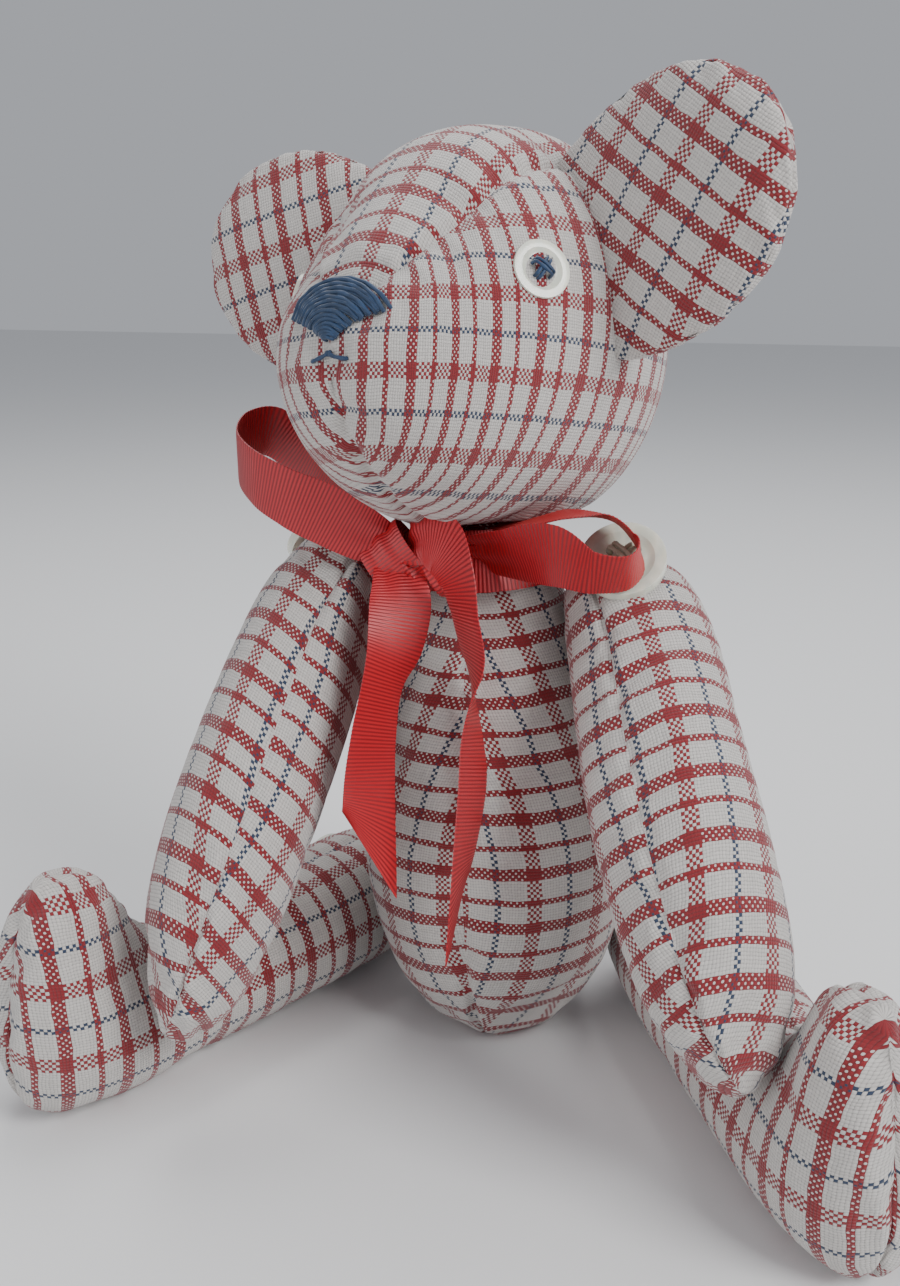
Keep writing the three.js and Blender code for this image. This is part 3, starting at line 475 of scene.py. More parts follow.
def flat_panel(form, panel, shares):
    """A panel's flat coordinates in mm, row by row and column by column, with its far seam's too."""
    start, end, middle, count, rule, shift, grain = panel
    turns = np.array([panel_angles(start(share), end(share), count) for share in shares])
    share_of = np.repeat(shares[:, None], count + 1, 1)
    flat = form.flat(share_of, turns, middle).reshape(turns.shape + (2,))
    if rule == "strip":
        length = running_length(form.at(shares, np.full(len(shares), middle)))
        aside = np.abs(flat[:, :, 0] - flat[:, count // 2, 0][:, None]) * np.sign(turns - middle)
        flat = np.stack([aside, np.repeat(length[:, None], count + 1, 1)], 2)
    if rule == "plane":
        line = form.local(shares, np.full(len(shares), middle))
        spots = form.local(share_of, turns).reshape(turns.shape + (3,))
        # towards the front and the back the panel turns inwards, so its cloth runs sideways there
        reach = spots[:, :, 1] / line[-1, 1]
        rounding = np.clip(np.abs(reach) * 1.6 - 0.4, 0, 1) * np.sign(reach)
        turned = rounding * (np.abs(line[:, 0]).max() - np.abs(spots[:, :, 0]))
        flat = np.stack([spots[:, :, 2] * PLANE_STRETCH, spots[:, :, 1] + turned], 2)
    c, s = math.cos(math.radians(grain)), math.sin(math.radians(grain))
    return flat @ np.array([[c, s], [-s, c]]) + np.array(shift)


# %% [markdown]
# ### Building the skin
# The rings of points are joined by squares and closed at each end. The points on the seams form a group
# that the stuffing step holds still, because thread holds the cloth there.

# %% Building the skin
def build_skin(name, form, panels, rows):
    """A closed skin round a form. Each panel is (start, end, middle, columns, flat rule, shift, grain),
    where start and end give its seams' turns at a share of the way along. The flat rule is side, for
    cloth bent round a limb, strip, for a band, or plane, for cloth that keeps its lines straight."""
    shares = form.even_shares(rows + 1)
    total = sum(panel[3] for panel in panels)
    angles = np.zeros((rows + 1, total))
    firsts = []
    owner = []
    first = 0
    for number, (start, end, _, count, *_) in enumerate(panels):
        for i, share in enumerate(shares):
            angles[i, first:first + count] = panel_angles(start(share), end(share), count)[:-1]
        firsts.append(first)
        owner += [number] * count
        first += count
    share_grid = np.repeat(shares[:, None], total, 1)
    points = form.at(share_grid, angles)
    far = seam_distance(points, firsts)
    along = np.gradient(points, axis=0)
    around = np.roll(points, -1, 1) - np.roll(points, 1, 1)
    out = unit_rows(np.cross(along, around))
    if ((points - points.mean((0, 1))) * out).sum() < 0:
        out = -out
    points = points + out * sewn_relief(name, far, owner)[:, :, None]
    vertices = list(points.reshape(-1, 3))
    vertices += [points[0].mean(0), points[-1].mean(0)]
    faces = []
    corners = []
    for i in range(rows):
        for j in range(total):
            k = (j + 1) % total
            faces.append((i * total + j, i * total + k, (i + 1) * total + k, (i + 1) * total + j))
            corners.append(((i, j), (i, j + 1), (i + 1, j + 1), (i + 1, j)))
    tip = (rows + 1) * total
    for j in range(total):
        k = (j + 1) % total
        faces.append((tip, k, j))
        corners.append(((0, j), (0, j + 1), (0, j)))
        faces.append((tip + 1, rows * total + j, rows * total + k))
        corners.append(((rows, j), (rows, j), (rows, j + 1)))
    thing = new_mesh(name, vertices, faces)
    spread = [flat_panel(form, panel, shares) for panel in panels]
    layer = thing.data.uv_layers.new(name="cloth")
    values = []
    for polygon, places in zip(thing.data.polygons, corners):
        column = places[0][1] if len(places) == 4 else min(p[1] for p in places)
        number = owner[column]
        for i, j in places:
            values.append(spread[number][i, j - firsts[number]])
    layer.data.foreach_set("uv", np.array(values, np.float32).ravel())
    pins = thing.vertex_groups.new(name="sewn")
    sewn = [int(n) for n in np.flatnonzero(far.ravel() < SEWN_REACH)] + [tip, tip + 1]
    pins.add(sewn, 1.0, "REPLACE")
    recalculate_outside(thing)
    thing.data.materials.append(CHECK)
    print(name, len(vertices), "points")
    return thing


# %% [markdown]
# ### Stuffing it
# Blender's cloth simulation puffs the skin as wadding does: pressure pushes the cloth out, the seams are
# held, and the cloth is a touch larger than its solid, so it wrinkles beside the seams. A cap keeps
# every point within a millimetre or two of where the pattern put it.

# %% Stuffing it
PRESSURE = 4.0
EASE = -0.05           # the cloth's shrink factor: below nought, it is larger than the form
SIMULATED_FRAMES = 18


def stuff(thing, cap=1.7, ease=EASE):
    """Puffs a skin out, moving no point further than about cap mm, and rounds it off."""
    start = np.array([v.co[:] for v in thing.data.vertices])
    select_only(thing)
    cloth = thing.modifiers.new("cloth", "CLOTH")
    settings = cloth.settings
    settings.quality = 6
    settings.mass = 0.15
    settings.tension_stiffness = 12
    settings.compression_stiffness = 12
    settings.shear_stiffness = 4
    settings.bending_stiffness = 0.02
    settings.use_pressure = True
    settings.uniform_pressure_force = PRESSURE
    settings.shrink_min = ease
    settings.vertex_group_mass = "sewn"
    settings.effector_weights.gravity = 0
    cloth.point_cache.frame_start = 1
    cloth.point_cache.frame_end = SIMULATED_FRAMES + 2
    scene = bpy.context.scene
    for number in range(1, SIMULATED_FRAMES + 1):
        scene.frame_set(number)
    moved = thing.evaluated_get(bpy.context.evaluated_depsgraph_get())
    end = np.array([v.co[:] for v in moved.data.vertices])
    thing.modifiers.remove(cloth)
    scene.frame_set(1)
    move = end - start
    size = np.linalg.norm(move, axis=1, keepdims=True)
    limit = cap * MM
    move *= np.minimum(1.0, limit * np.tanh(size / limit) / np.maximum(size, 1e-9))
    thing.data.vertices.foreach_set("co", (start + move).ravel())
    thing.data.update()
    print(thing.name, "moved up to", round(float(size.max()) * 1000, 2), "mm")
    smooth = thing.modifiers.new("smooth", "SUBSURF")
    smooth.levels = 1
    smooth.render_levels = 1
    apply_modifiers(thing)
    shade_smooth(thing)


# %% [markdown]
# ## Body
# The body is a pear, flattened where it sits, in two panels with a seam down the front. Its check runs
# straight across and straight up, so the cut follows the grain.

# %% Body
BODY_HEIGHT = 138.0
HALF_BODY_WIDTH = 34.0
HALF_BODY_DEPTH = 32.0
HALF_NECK = 15.0
BODY_LEAN = -3.5
JOINT_GAP = 0.8

lean = np.array(Matrix.Rotation(math.radians(BODY_LEAN), 3, "Y"))
neck_up = lean @ np.array([0, 0, 1.0])
neck_top = joint_place("neck_turn")
body_origin = neck_top - neck_up * BODY_HEIGHT

# along, and out to the front; along, and out to the back; half the width: shares of the body's sizes
body_rows = [
    [-0.014, 0.2, -0.014, 0.08, 0.05],
    [-0.012, 0.46, -0.01, -0.14, 0.28],
    [0.012, 0.62, 0.02, -0.38, 0.44],
    [0.06, 0.82, 0.08, -0.62, 0.64],
    [0.16, 1.0, 0.18, -0.86, 0.86],
    [0.3, 1.06, 0.32, -0.98, 0.99],
    [0.46, 1.0, 0.47, -0.98, 1.0],
    [0.62, 0.84, 0.62, -0.88, 0.84],
    [0.78, 0.64, 0.78, -0.7, 0.63],
    [0.9, 0.49, 0.9, -0.53, 0.49],
    [0.975, 0.41, 0.975, -0.43, 0.42],
]
body_table = [[a * BODY_HEIGHT, b * HALF_BODY_DEPTH, c * BODY_HEIGHT, d * HALF_BODY_DEPTH,
               half * HALF_BODY_WIDTH] for a, b, c, d, half in body_rows]
body_table.append([BODY_HEIGHT, HALF_NECK * 0.8, BODY_HEIGHT, -HALF_NECK * 0.8, HALF_NECK * 0.8])
body_table.append([BODY_HEIGHT, 3.6, BODY_HEIGHT, -3.6, 3.6])


def on_floor(points):
    points[:, 2] = np.maximum(points[:, 2], 0.0)
    return points


upright = np.array([[1, 0, 0], [0, 0, 1], [0, -1, 0]], float) @ lean.T
body_form = Form(body_table, upright, body_origin, on_floor)


def turn_of(value):
    return lambda share: value


def two_panels(columns, outer_shift, inner_shift, outer_grain=0.0, inner_grain=0.0):
    half, full = math.pi, 2 * math.pi
    return [(turn_of(0.0), turn_of(half), half / 2, columns, "side", outer_shift, outer_grain),
            (turn_of(half), turn_of(full), 1.5 * half, columns, "side", inner_shift, inner_grain)]


body_skin = build_skin("body_skin", body_form, two_panels(34, (4.0, 3.0), (9.0, 3.0)), rows=80)
stuff(body_skin)
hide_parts("body_panel_left", "body_panel_right", "body_stuffing")
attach(body_skin, "torso")

# %% [markdown]
# ## Head
# Two side panels meet under the chin, and a gusset runs over the top from the nose to the nape. The
# underside is pressed flat against the neck's disc.

# %% Head
HALF_HEAD = 40.0
HALF_HEIGHT = 46.0
HALF_LENGTH = 47.5
HEAD_SINK = 5.0
HEAD_TURN = -20.0
HEAD_TILT = -6.0
HEAD_NOD = -10.0
GUSSET_ANGLE = 41.0

# along and up for the top edge, then for the bottom edge, and half the width: shares of the half sizes
head_rows = [
    [-1.03, -0.13, -1.03, -0.18, 0.03],
    [-1.015, 0.03, -1.01, -0.38, 0.26],
    [-0.9, 0.25, -0.88, -0.6, 0.53],
    [-0.66, 0.56, -0.66, -0.8, 0.76],
    [-0.36, 0.92, -0.38, -0.93, 0.93],
    [0.0, 1.05, -0.02, -1.0, 1.0],
    [0.34, 1.07, 0.32, -1.0, 1.0],
    [0.64, 0.88, 0.62, -0.88, 0.88],
    [0.86, 0.56, 0.86, -0.6, 0.64],
    [0.97, 0.26, 0.97, -0.28, 0.34],
    [0.99, 0.08, 0.99, -0.08, 0.1],
]
head_table = [[a * HALF_LENGTH, b * HALF_HEIGHT, c * HALF_LENGTH, d * HALF_HEIGHT, wide * HALF_HEAD]
              for a, b, c, d, wide in head_rows]
head_centre = neck_top + neck_up * (JOINT_GAP + HALF_HEIGHT - HEAD_SINK)
head_turn = (Matrix.Rotation(math.radians(HEAD_TURN), 3, "Z")
             @ Matrix.Rotation(math.radians(HEAD_TILT), 3, "Y")
             @ Matrix.Rotation(math.radians(HEAD_NOD), 3, "X"))
head_axes = np.array(head_turn).T


def on_neck(points):
    height = (points - neck_top - neck_up * JOINT_GAP) @ neck_up
    return points - np.minimum(height, 0.0)[:, None] * neck_up


head_form = Form(head_table, head_axes, head_centre, on_neck)


def gusset_edge(share):
    """The turn of the gusset's seam: narrow at the nose and the nape, wide over the brow."""
    return math.radians(GUSSET_ANGLE) * math.sin(math.pi * (0.12 + share * 0.8))


head_panels = [
    (lambda share: -gusset_edge(share), gusset_edge, 0.0, 24, "strip", (0.0, 4.0), 0.0),
    (gusset_edge, turn_of(math.pi), math.pi / 2, 34, "plane", (0.0, 0.0), 0.0),
    (turn_of(math.pi), lambda share: 2 * math.pi - gusset_edge(share), 1.5 * math.pi, 34, "plane",
     (0.0, 0.0), 0.0),
]
head_skin = build_skin("head_skin", head_form, head_panels, rows=84)
stuff(head_skin)
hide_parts("head_gusset", "head_side_left", "head_side_right", "head_stuffing")
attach(head_skin, "head")

# %% [markdown]
# ## Ears
# Each ear is two round panels with a thin wadding, cut on the slant, so its check runs askew.

# %% Ears
HALF_EAR = 29.0
EAR_REACH = 60.0
EAR_FORWARD = -3.0
HALF_EAR_THICKNESS = 4.0

# along and up for the upper edge, then for the lower edge, and half the thickness
ear_rows = [
    [0.0, 0.8, 0.0, -0.8, 0.9],
    [0.25, 0.97, 0.25, -0.97, 1.0],
    [0.55, 1.0, 0.55, -1.0, 1.0],
    [0.8, 0.82, 0.8, -0.82, 0.9],
    [0.95, 0.5, 0.95, -0.5, 0.7],
    [1.0, 0.14, 1.0, -0.14, 0.4],
]
ear_table = [[a * EAR_REACH, b * HALF_EAR, c * EAR_REACH, d * HALF_EAR, thick * HALF_EAR_THICKNESS]
             for a, b, c, d, thick in ear_rows]

for side, sign in (("left", 1), ("right", -1)):
    away = unit((sign * 0.94, -0.2, 0.34))
    across = unit((sign * -0.34, 0, 0.94))
    face = unit(np.cross(away, across) * -sign)
    base = np.array([sign * HALF_HEAD * 0.66, -EAR_FORWARD, HALF_HEIGHT * 0.3])
    form = Form(ear_table, np.array([face, away, across]) @ head_axes, base @ head_axes + head_centre)
    ear = build_skin(f"ear_skin_{side}", form, two_panels(30, (2.0, 3.0), (2.0, 3.0), 32 * sign, 32 * sign),
                     rows=44)
    stuff(ear, cap=1.2, ease=-0.04)
    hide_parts(f"ear_{side}_front", f"ear_{side}_back", f"ear_{side}_wadding")
    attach(ear, "head")

# %% [markdown]
# ## Arms
# An arm is a long mitten in two panels. The seam runs down its front, and the arm bends in towards the
# body below the shoulder.

# %% Arms
ARM_LENGTH = 130.0
HALF_ARM = 20.5
HALF_ARM_THICKNESS = 17.0
SHOULDER_SLOPE = 36.0
SHOULDER_SHARE = 0.12
BEND_START = 4.0
BEND_LENGTH = 18.0
ARM_POSES = {"left": (1, 42.0, 9.0), "right": (-1, 47.0, 23.0)}    # side, degrees forward, bend

# along and across for one seam edge, then for the other, and half the thickness
arm_rows = [
    [0.0, 0.1, 0.0, -0.12, 0.14],
    [0.02, 0.5, 0.02, -0.52, 0.5],
    [0.1, 0.84, 0.1, -0.88, 0.82],
    [0.24, 0.9, 0.24, -0.96, 0.95],
    [0.42, 0.84, 0.4, -1.02, 1.0],
    [0.58, 0.9, 0.56, -1.0, 1.02],
    [0.74, 1.06, 0.73, -0.86, 0.98],
    [0.87, 1.04, 0.88, -0.6, 0.8],
    [0.955, 0.78, 0.965, -0.16, 0.48],
    [0.99, 0.5, 1.0, 0.2, 0.14],
]


def arm_table(bend):
    table = []
    for a, b, c, d, thick in arm_rows:
        bent = max(0.0, ((a + c) / 2 - SHOULDER_SHARE) * ARM_LENGTH - BEND_START)
        bow = -math.tan(math.radians(bend)) * bent * bent / (bent + BEND_LENGTH)
        table.append([(a - SHOULDER_SHARE) * ARM_LENGTH, b * HALF_ARM, (c - SHOULDER_SHARE) * ARM_LENGTH,
                      d * HALF_ARM, thick * HALF_ARM_THICKNESS, bow])
    return table


slope = math.radians(SHOULDER_SLOPE)
for side, (sign, forward, bend) in ARM_POSES.items():
    swing = math.radians(forward)
    axis = np.array([sign * math.cos(slope), 0, math.sin(slope)])
    down = np.array([sign * math.sin(slope), 0, -math.cos(slope)])
    along = down * math.cos(swing) + np.array([0, -1.0, 0]) * math.sin(swing)
    across = np.cross(axis, along) * sign
    form = Form(arm_table(bend), [axis, along, across], joint_place(f"shoulder_swing_{side}"))
    arm = build_skin(f"arm_skin_{side}", form, two_panels(30, (5.0, 2.0), (1.0, 6.0)), rows=76)
    stuff(arm)
    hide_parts(f"arm_{side}_outer_panel", f"arm_{side}_inner_panel", f"arm_{side}_stuffing")
    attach(arm, f"arm_{side}")

# %% [markdown]
# ## Legs
# A leg is an L in side view: a tube that lies on the floor and a foot that stands up at its end. The
# seam goes over the toe and down the middle of the sole.

# %% Legs
LEG_LENGTH = 138.0
LEG_WIDTH = 38.0
HALF_LEG_THICKNESS = 18.0
FOOT_HEIGHT = 62.0
HIP_HEIGHT = 20.0
HIP_SHARE = 0.15
LEG_POSES = {"left": (1, 30.0), "right": (-1, 25.0)}     # side, and degrees that it is splayed
TOE_TOP = 1.63

# along and up for the upper edge, then for the lower edge, half the thickness, and 1 where the foot is
leg_rows = [
    [0.0, 0.5, 0.0, 0.4, 0.14, 0],
    [0.02, 0.8, 0.02, 0.15, 0.55, 0],
    [0.11, 0.98, 0.11, 0.02, 0.86, 0],
    [0.3, 1.0, 0.3, 0.0, 1.0, 0],
    [0.48, 0.95, 0.5, 0.0, 0.96, 0],
    [0.61, 0.94, 0.68, 0.0, 0.93, 0],
    [0.69, 1.0, 0.83, 0.0, 0.93, 0.1],
    [0.735, 1.14, 0.955, 0.1, 0.9, 0.35],
    [0.76, 1.3, 0.99, 0.42, 0.8, 0.7],
    [0.79, 1.5, 0.99, 0.85, 0.66, 1],
    [0.84, 1.61, 0.965, 1.25, 0.46, 1],
    [0.9, TOE_TOP, 0.93, 1.52, 0.14, 1],
]
foot_scale = FOOT_HEIGHT / (TOE_TOP * LEG_WIDTH)
leg_table = []
for a, b, c, d, thick, foot in leg_rows:
    scale = LEG_WIDTH * (1 + foot * (foot_scale - 1))
    leg_table.append([(a - HIP_SHARE) * LEG_LENGTH, b * scale - HIP_HEIGHT,
                      (c - HIP_SHARE) * LEG_LENGTH, d * scale - HIP_HEIGHT, thick * HALF_LEG_THICKNESS])

for side, (sign, splay) in LEG_POSES.items():
    turn = math.radians(splay)
    axis = np.array([sign * math.cos(turn), math.sin(turn), 0])
    along = np.array([sign * math.sin(turn), -math.cos(turn), 0])
    form = Form(leg_table, [axis, along, (0, 0, 1)], joint_place(f"hip_swing_{side}"), on_floor)
    leg = build_skin(f"leg_skin_{side}", form, two_panels(30, (3.0, 5.0), (3.0, 5.0)), rows=86)
    stuff(leg)
    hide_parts(f"leg_{side}_outer_panel", f"leg_{side}_inner_panel", f"leg_{side}_stuffing")
    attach(leg, f"leg_{side}")

# %% [markdown]
# ## Ribbon
# The bow is tied from one length of grosgrain, a ribbon with fine ribs straight across it. Each run of it
# is drawn as stations along its middle, with the way that its width lies at each, and the ribs are
# real ridges, four rows of points to a rib. The stations are in millimetres in the bow's own frame.

# %% Ribbon cloth
RIBBON_WIDTH = 15.0
RIBBON_THICKNESS = 0.45
RIB = 0.88             # mm from rib to rib
RIB_HEIGHT = 0.13
ROWS_PER_RIB = 4
RIBBON_COLUMNS = 11
BUCKLE = 1.6           # mm depth of the lengthwise folds where the ribbon is gathered
BUCKLE_WAVES = 1.1     # folds on each side of its middle
SLANT_LENGTH = 20.0    # mm of a tail over which its slanted end is drawn
BOW_AZIMUTH = 18.0
BOW_PITCH = 17.0


def build_grosgrain(name):
    material, tree, shader = new_material(name, 0.42, 1.55, Sheen_Weight=0.3, Sheen_Roughness=0.35)
    shader.inputs["Sheen Tint"].default_value = linear("#FF8A80")
    flat = node(tree, "ShaderNodeUVMap", uv_map="cloth").outputs[0]
    apart = node(tree, "ShaderNodeSeparateXYZ", {0: flat})
    ridge = math_node(tree, "SINE", math_node(tree, "MULTIPLY", apart.outputs[1], 2 * math.pi / RIB))
    stretched = node(tree, "ShaderNodeMapping", {"Vector": flat, "Scale": (9.0, 1.2, 1.0)}).outputs[0]
    filament = node(tree, "ShaderNodeTexNoise", {"Vector": stretched, "Scale": 1.0,
                                                 "Detail": 2.0}).outputs[0]
    # painted shade and highlight: the red is darker in the ribs' valleys and lighter on their crests, plus a
    # random filament tone
    painted_rib_shade = node(tree, "ShaderNodeMapRange", {0: ridge, 1: -1.0, 2: 0.6, 3: 0.0, 4: 1.0}).outputs[0]
    shade = math_node(tree, "ADD", painted_rib_shade, math_node(tree, "MULTIPLY_ADD", filament, 0.35, -0.17))
    colour = mix_colour(tree, shade, linear("#7E0F18"), linear("#BE1A24"))
    tree.links.new(colour, shader.inputs["Base Color"])
    add_bump(tree, shader, filament, 0.3, 0.12)
    return material


GROSGRAIN = build_grosgrain("red_grosgrain_polyester")
print(GROSGRAIN.name, len(GROSGRAIN.node_tree.nodes), "nodes")

# %% [markdown]
# ### Where the bow sits
# The knot stands at the front of the neck, a little to the bear's right. The bow has its own frame, which
# leans back as the bow does, so its stations can be given as right, up and out.

# %% The bow's own frame
KNOT_ANGLE = -40.0     # degrees round the neck from straight ahead
KNOT_DROP = 8.1        # mm below the top of the neck
KNOT_REACH = 22.3      # mm from the neck's middle
bow_a, bow_p = math.radians(BOW_AZIMUTH), math.radians(BOW_PITCH)
bow_right = np.array([math.cos(bow_a), math.sin(bow_a), 0])
bow_out = np.array([math.sin(bow_a) * math.cos(bow_p), -math.cos(bow_a) * math.cos(bow_p),
                    math.sin(bow_p)])
bow_up = np.cross(bow_out, bow_right)
bow_axes = np.array([bow_right, bow_up, bow_out])


def spoke(turn):
    """The way out from the neck's middle, square to the neck. turn is in radians from straight ahead."""
    return lean @ np.array([math.sin(turn), -math.cos(turn), 0])


knot_centre = neck_top - neck_up * KNOT_DROP + spoke(math.radians(KNOT_ANGLE)) * KNOT_REACH
print("knot", knot_centre.round(1))


# %% [markdown]
# ### One run of ribbon
# A run is swept along a smooth curve. It keeps one width, buckles where the knot squeezes it, and may end
# in a slanted cut, as a ribbon's tails do.

# %% One run of ribbon
def ribbon_run(name, centres, ways, shares=None, cut=0.0):
    """One run of ribbon. shares give how much of its width shows where it is gathered; cut is how far
    its last end slants, in mm."""
    shares = [1.0] * len(centres) if shares is None else shares
    table = np.hstack([centres, ways, np.array(shares)[:, None]])
    fine = smooth_rows(table, np.linspace(0, 1, 900))
    run = running_length(fine[:, :3])
    length = run[-1]
    count = int(length / RIB * ROWS_PER_RIB) + 2
    marks = np.linspace(0, length, count)
    line = np.stack([np.interp(marks, run, column) for column in fine.T], 1)
    middle, way, share = line[:, :3], line[:, 3:6], line[:, 6:7]
    ahead = unit_rows(np.gradient(middle, axis=0))
    way = unit_rows(way - (way * ahead).sum(1, keepdims=True) * ahead)
    face = np.cross(ahead, way)
    across = np.linspace(-1, 1, RIBBON_COLUMNS)
    half = RIBBON_WIDTH / 2
    ridge = RIB_HEIGHT / 2 * np.cos(2 * math.pi * marks / RIB)
    slant = np.clip((marks - length) / SLANT_LENGTH + 1, 0, 1) ** 2
    sides = []
    for sign in (1, -1):
        edge = np.where(np.abs(across) > 0.99, 0.5, 1.0)
        lift = sign * (RIBBON_THICKNESS / 2 * edge[None, :] + ridge[:, None])
        # gathered ribbon buckles lengthways where it is squeezed into the knot
        buckle = (1 - share) * BUCKLE * np.cos(across[None, :] * 2 * math.pi * BUCKLE_WAVES)
        sides.append(middle[:, None, :]
                     + way[:, None, :] * (share * across * half)[:, :, None]
                     + face[:, None, :] * (lift + buckle)[:, :, None]
                     + ahead[:, None, :] * (slant[:, None] * across * cut)[:, :, None])
    ring = 2 * RIBBON_COLUMNS
    points = np.concatenate([sides[0], sides[1][:, ::-1]], 1).reshape(-1, 3)
    faces = []
    flats = []
    columns = np.concatenate([across, across[::-1]]) * half
    for i in range(count - 1):
        for j in range(ring):
            k = (j + 1) % ring
            faces.append((i * ring + j, i * ring + k, (i + 1) * ring + k, (i + 1) * ring + j))
            flats += [(columns[j], marks[i]), (columns[k], marks[i]), (columns[k], marks[i + 1]),
                      (columns[j], marks[i + 1])]
    for base, turned in ((0, False), ((count - 1) * ring, True)):
        for j in range(RIBBON_COLUMNS - 1):
            quad = (base + j, base + ring - 1 - j, base + ring - 2 - j, base + j + 1)
            faces.append(quad[::-1] if turned else quad)
            flats += [(columns[j], marks[0])] * 4
    thing = new_mesh(name, points, faces)
    layer = thing.data.uv_layers.new(name="cloth")
    layer.data.foreach_set("uv", np.array(flats, np.float32).ravel())
    recalculate_outside(thing)
    thing.data.materials.append(GROSGRAIN)
    print(name, round(length), "mm")
    return thing, length


def bow_run(name, stations, shares=None, cut=0.0):
    stations = np.array(stations, float)
    centres = stations[:, :3] @ bow_axes + knot_centre
    return ribbon_run(name, centres, stations[:, 3:] @ bow_axes, shares, cut)


# %% [markdown]
# ### The bow
# The loops leave the knot, turn over and come back to it, and the tails hang from it. A station is a
# place (right, up, out) and the way that the ribbon's width lies there, in the same order. Sides are as
# seen from in front of the bow.

# %% The bow
right_hand_loop = [
    [-1, 2, 0, 0.1, 0.9, 0.3], [-9, 5, 4, 0.1, 0.9, 0.3], [-19, 10, 7, 0.1, 0.9, 0.4],
    [-28, 14, 8, 0.05, 0.87, 0.5], [-36, 19, 5, 0, 0.85, 0.5], [-41, 25, -2, 0.05, 0.8, 0.6],
    [-40, 31, -10, 0.1, 0.75, 0.65], [-34, 33, -15, 0.15, 0.7, 0.65], [-26, 26, -16, 0.2, 0.7, 0.6],
    [-18, 15, -11, 0.3, 0.75, 0.5], [-9, 6, -5, 0.3, 0.8, 0.4], [-2, 1, -2, 0.2, 0.9, 0.3],
]
left_hand_loop = [
    [1, 2, 0, 0.1, 0.7, -0.6], [9, 5, 1, 0.1, 0.5, -0.8], [18, 6, 3, 0.06, 0.44, -0.9],
    [28, 8, 9, 0.1, 0.3, -0.95], [39, 9, 16, 0.1, 0.22, -0.97], [48, 7, 21, 0.1, 0.08, -0.99],
    [53, 0, 25, 0.22, -0.2, -0.95], [50, -5, 28, 0.16, -0.4, -0.88], [42, -5, 28, 0, -0.56, -0.83],
    [34, -1, 24, -0.13, -0.78, -0.58], [25, 0, 14, -0.06, -0.7, -0.7], [14, 1, 6, 0, -0.6, -0.8],
    [1, 1, 1, 0, -0.6, -0.8],
]
left_hand_tail = [
    [-1, 1, 2, -0.6, -0.5, -0.6], [4, 4, 8, -0.55, -0.45, -0.7], [9, 2, 14, -0.55, -0.5, -0.65],
    [12, -5, 17, -0.45, -0.35, -0.8], [14, -14, 16, -0.35, -0.1, -0.93], [16, -24, 13, -0.3, 0, -0.95],
    [16, -33, 11, 0.05, 0, -1], [16, -43, 11, 0.35, 0, -0.94], [16, -54, 12, 0.45, 0, -0.9],
    [14, -70, 13, 0.35, 0, -0.94], [12, -85, 13, 0.15, 0, -0.99],
]
right_hand_tail = [
    [-3, 0, 3, 0.95, -0.1, 0.1], [-1, -9, 8, 0.97, -0.1, -0.1], [-2, -20, 10, 0.85, -0.1, -0.5],
    [-5, -30, 11, 0.6, 0, -0.8], [-7, -42, 12, 0.65, 0, -0.76], [-8, -54, 12, 0.75, 0, -0.66],
    [-8, -70, 12, 0.8, 0, -0.6],
]
runs = [
    bow_run("ribbon", right_hand_loop, [0.5, 0.85, 1, 1, 1, 1, 1, 1, 1, 0.95, 0.8, 0.5]),
    bow_run("left_hand_loop", left_hand_loop, [0.5, 0.8, 1, 1, 1, 1, 1, 1, 1, 1, 0.9, 0.7, 0.5]),
    bow_run("left_hand_tail", left_hand_tail, [0.55, 0.85, 1, 1, 1, 1, 1, 1, 1, 1, 1], cut=-9),
    bow_run("right_hand_tail", right_hand_tail, [0.6, 0.95, 1, 1, 1, 1, 1], cut=11),
]

KNOT_WAY = unit((0.8, 0.55, 0.25))    # how the ribbon's width lies in the knot


def wrap_stations(centre, way, out_reach, down_reach):
    """One turn of ribbon round the others, as an oval about centre, with its width lying along way."""
    out = unit(np.array([0, 0, 1.0]) - KNOT_WAY * KNOT_WAY[2])
    down = np.cross(KNOT_WAY, out)
    stations = []
    for turn in np.radians(np.arange(-200, 161, 30)):
        place = np.array(centre) + out_reach * math.cos(turn) * out + down_reach * math.sin(turn) * down
        stations.append([*place, *way])
    return stations


# the knot is two turns of the ribbon, one across the other, and the band goes round the neck
first_wrap = wrap_stations((-2.5, 0, 0.5), KNOT_WAY, 5.6, 7.4)
second_wrap = wrap_stations((4.0, -2.5, 1.5), unit((0.9, -0.35, 0.2)), 4.6, -6.4)
runs.append(bow_run("knot_wrap", first_wrap, [0.78] * len(first_wrap)))
runs.append(bow_run("knot_second_wrap", second_wrap, [0.55] * len(second_wrap)))
BAND_RADIUS = 17.9
BAND_DROP = 8.5
BAND_TILT = 0.38       # how far the band's width leans in towards the neck's top
band_turns = np.radians(KNOT_ANGLE + np.linspace(6, 354, 22))
spokes = np.array([spoke(turn) for turn in band_turns])
band = neck_top - neck_up * BAND_DROP + spokes * BAND_RADIUS
runs.append(ribbon_run("neck_band", band, neck_up - spokes * BAND_TILT))

ribbon = runs[0][0]
select_only(ribbon, *[run[0] for run in runs[1:]])
bpy.ops.object.join()
shade_smooth(ribbon, 50)
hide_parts("ribbon_bow")
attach(ribbon, "torso")

# %% [markdown]
# ## Buttons
# The eyes are pearly four-hole shirt buttons and the limbs have larger ones. The pearl is clouded and
# faintly banded, and clear coat gives its polish. The thread's colour changes from fibre to fibre.

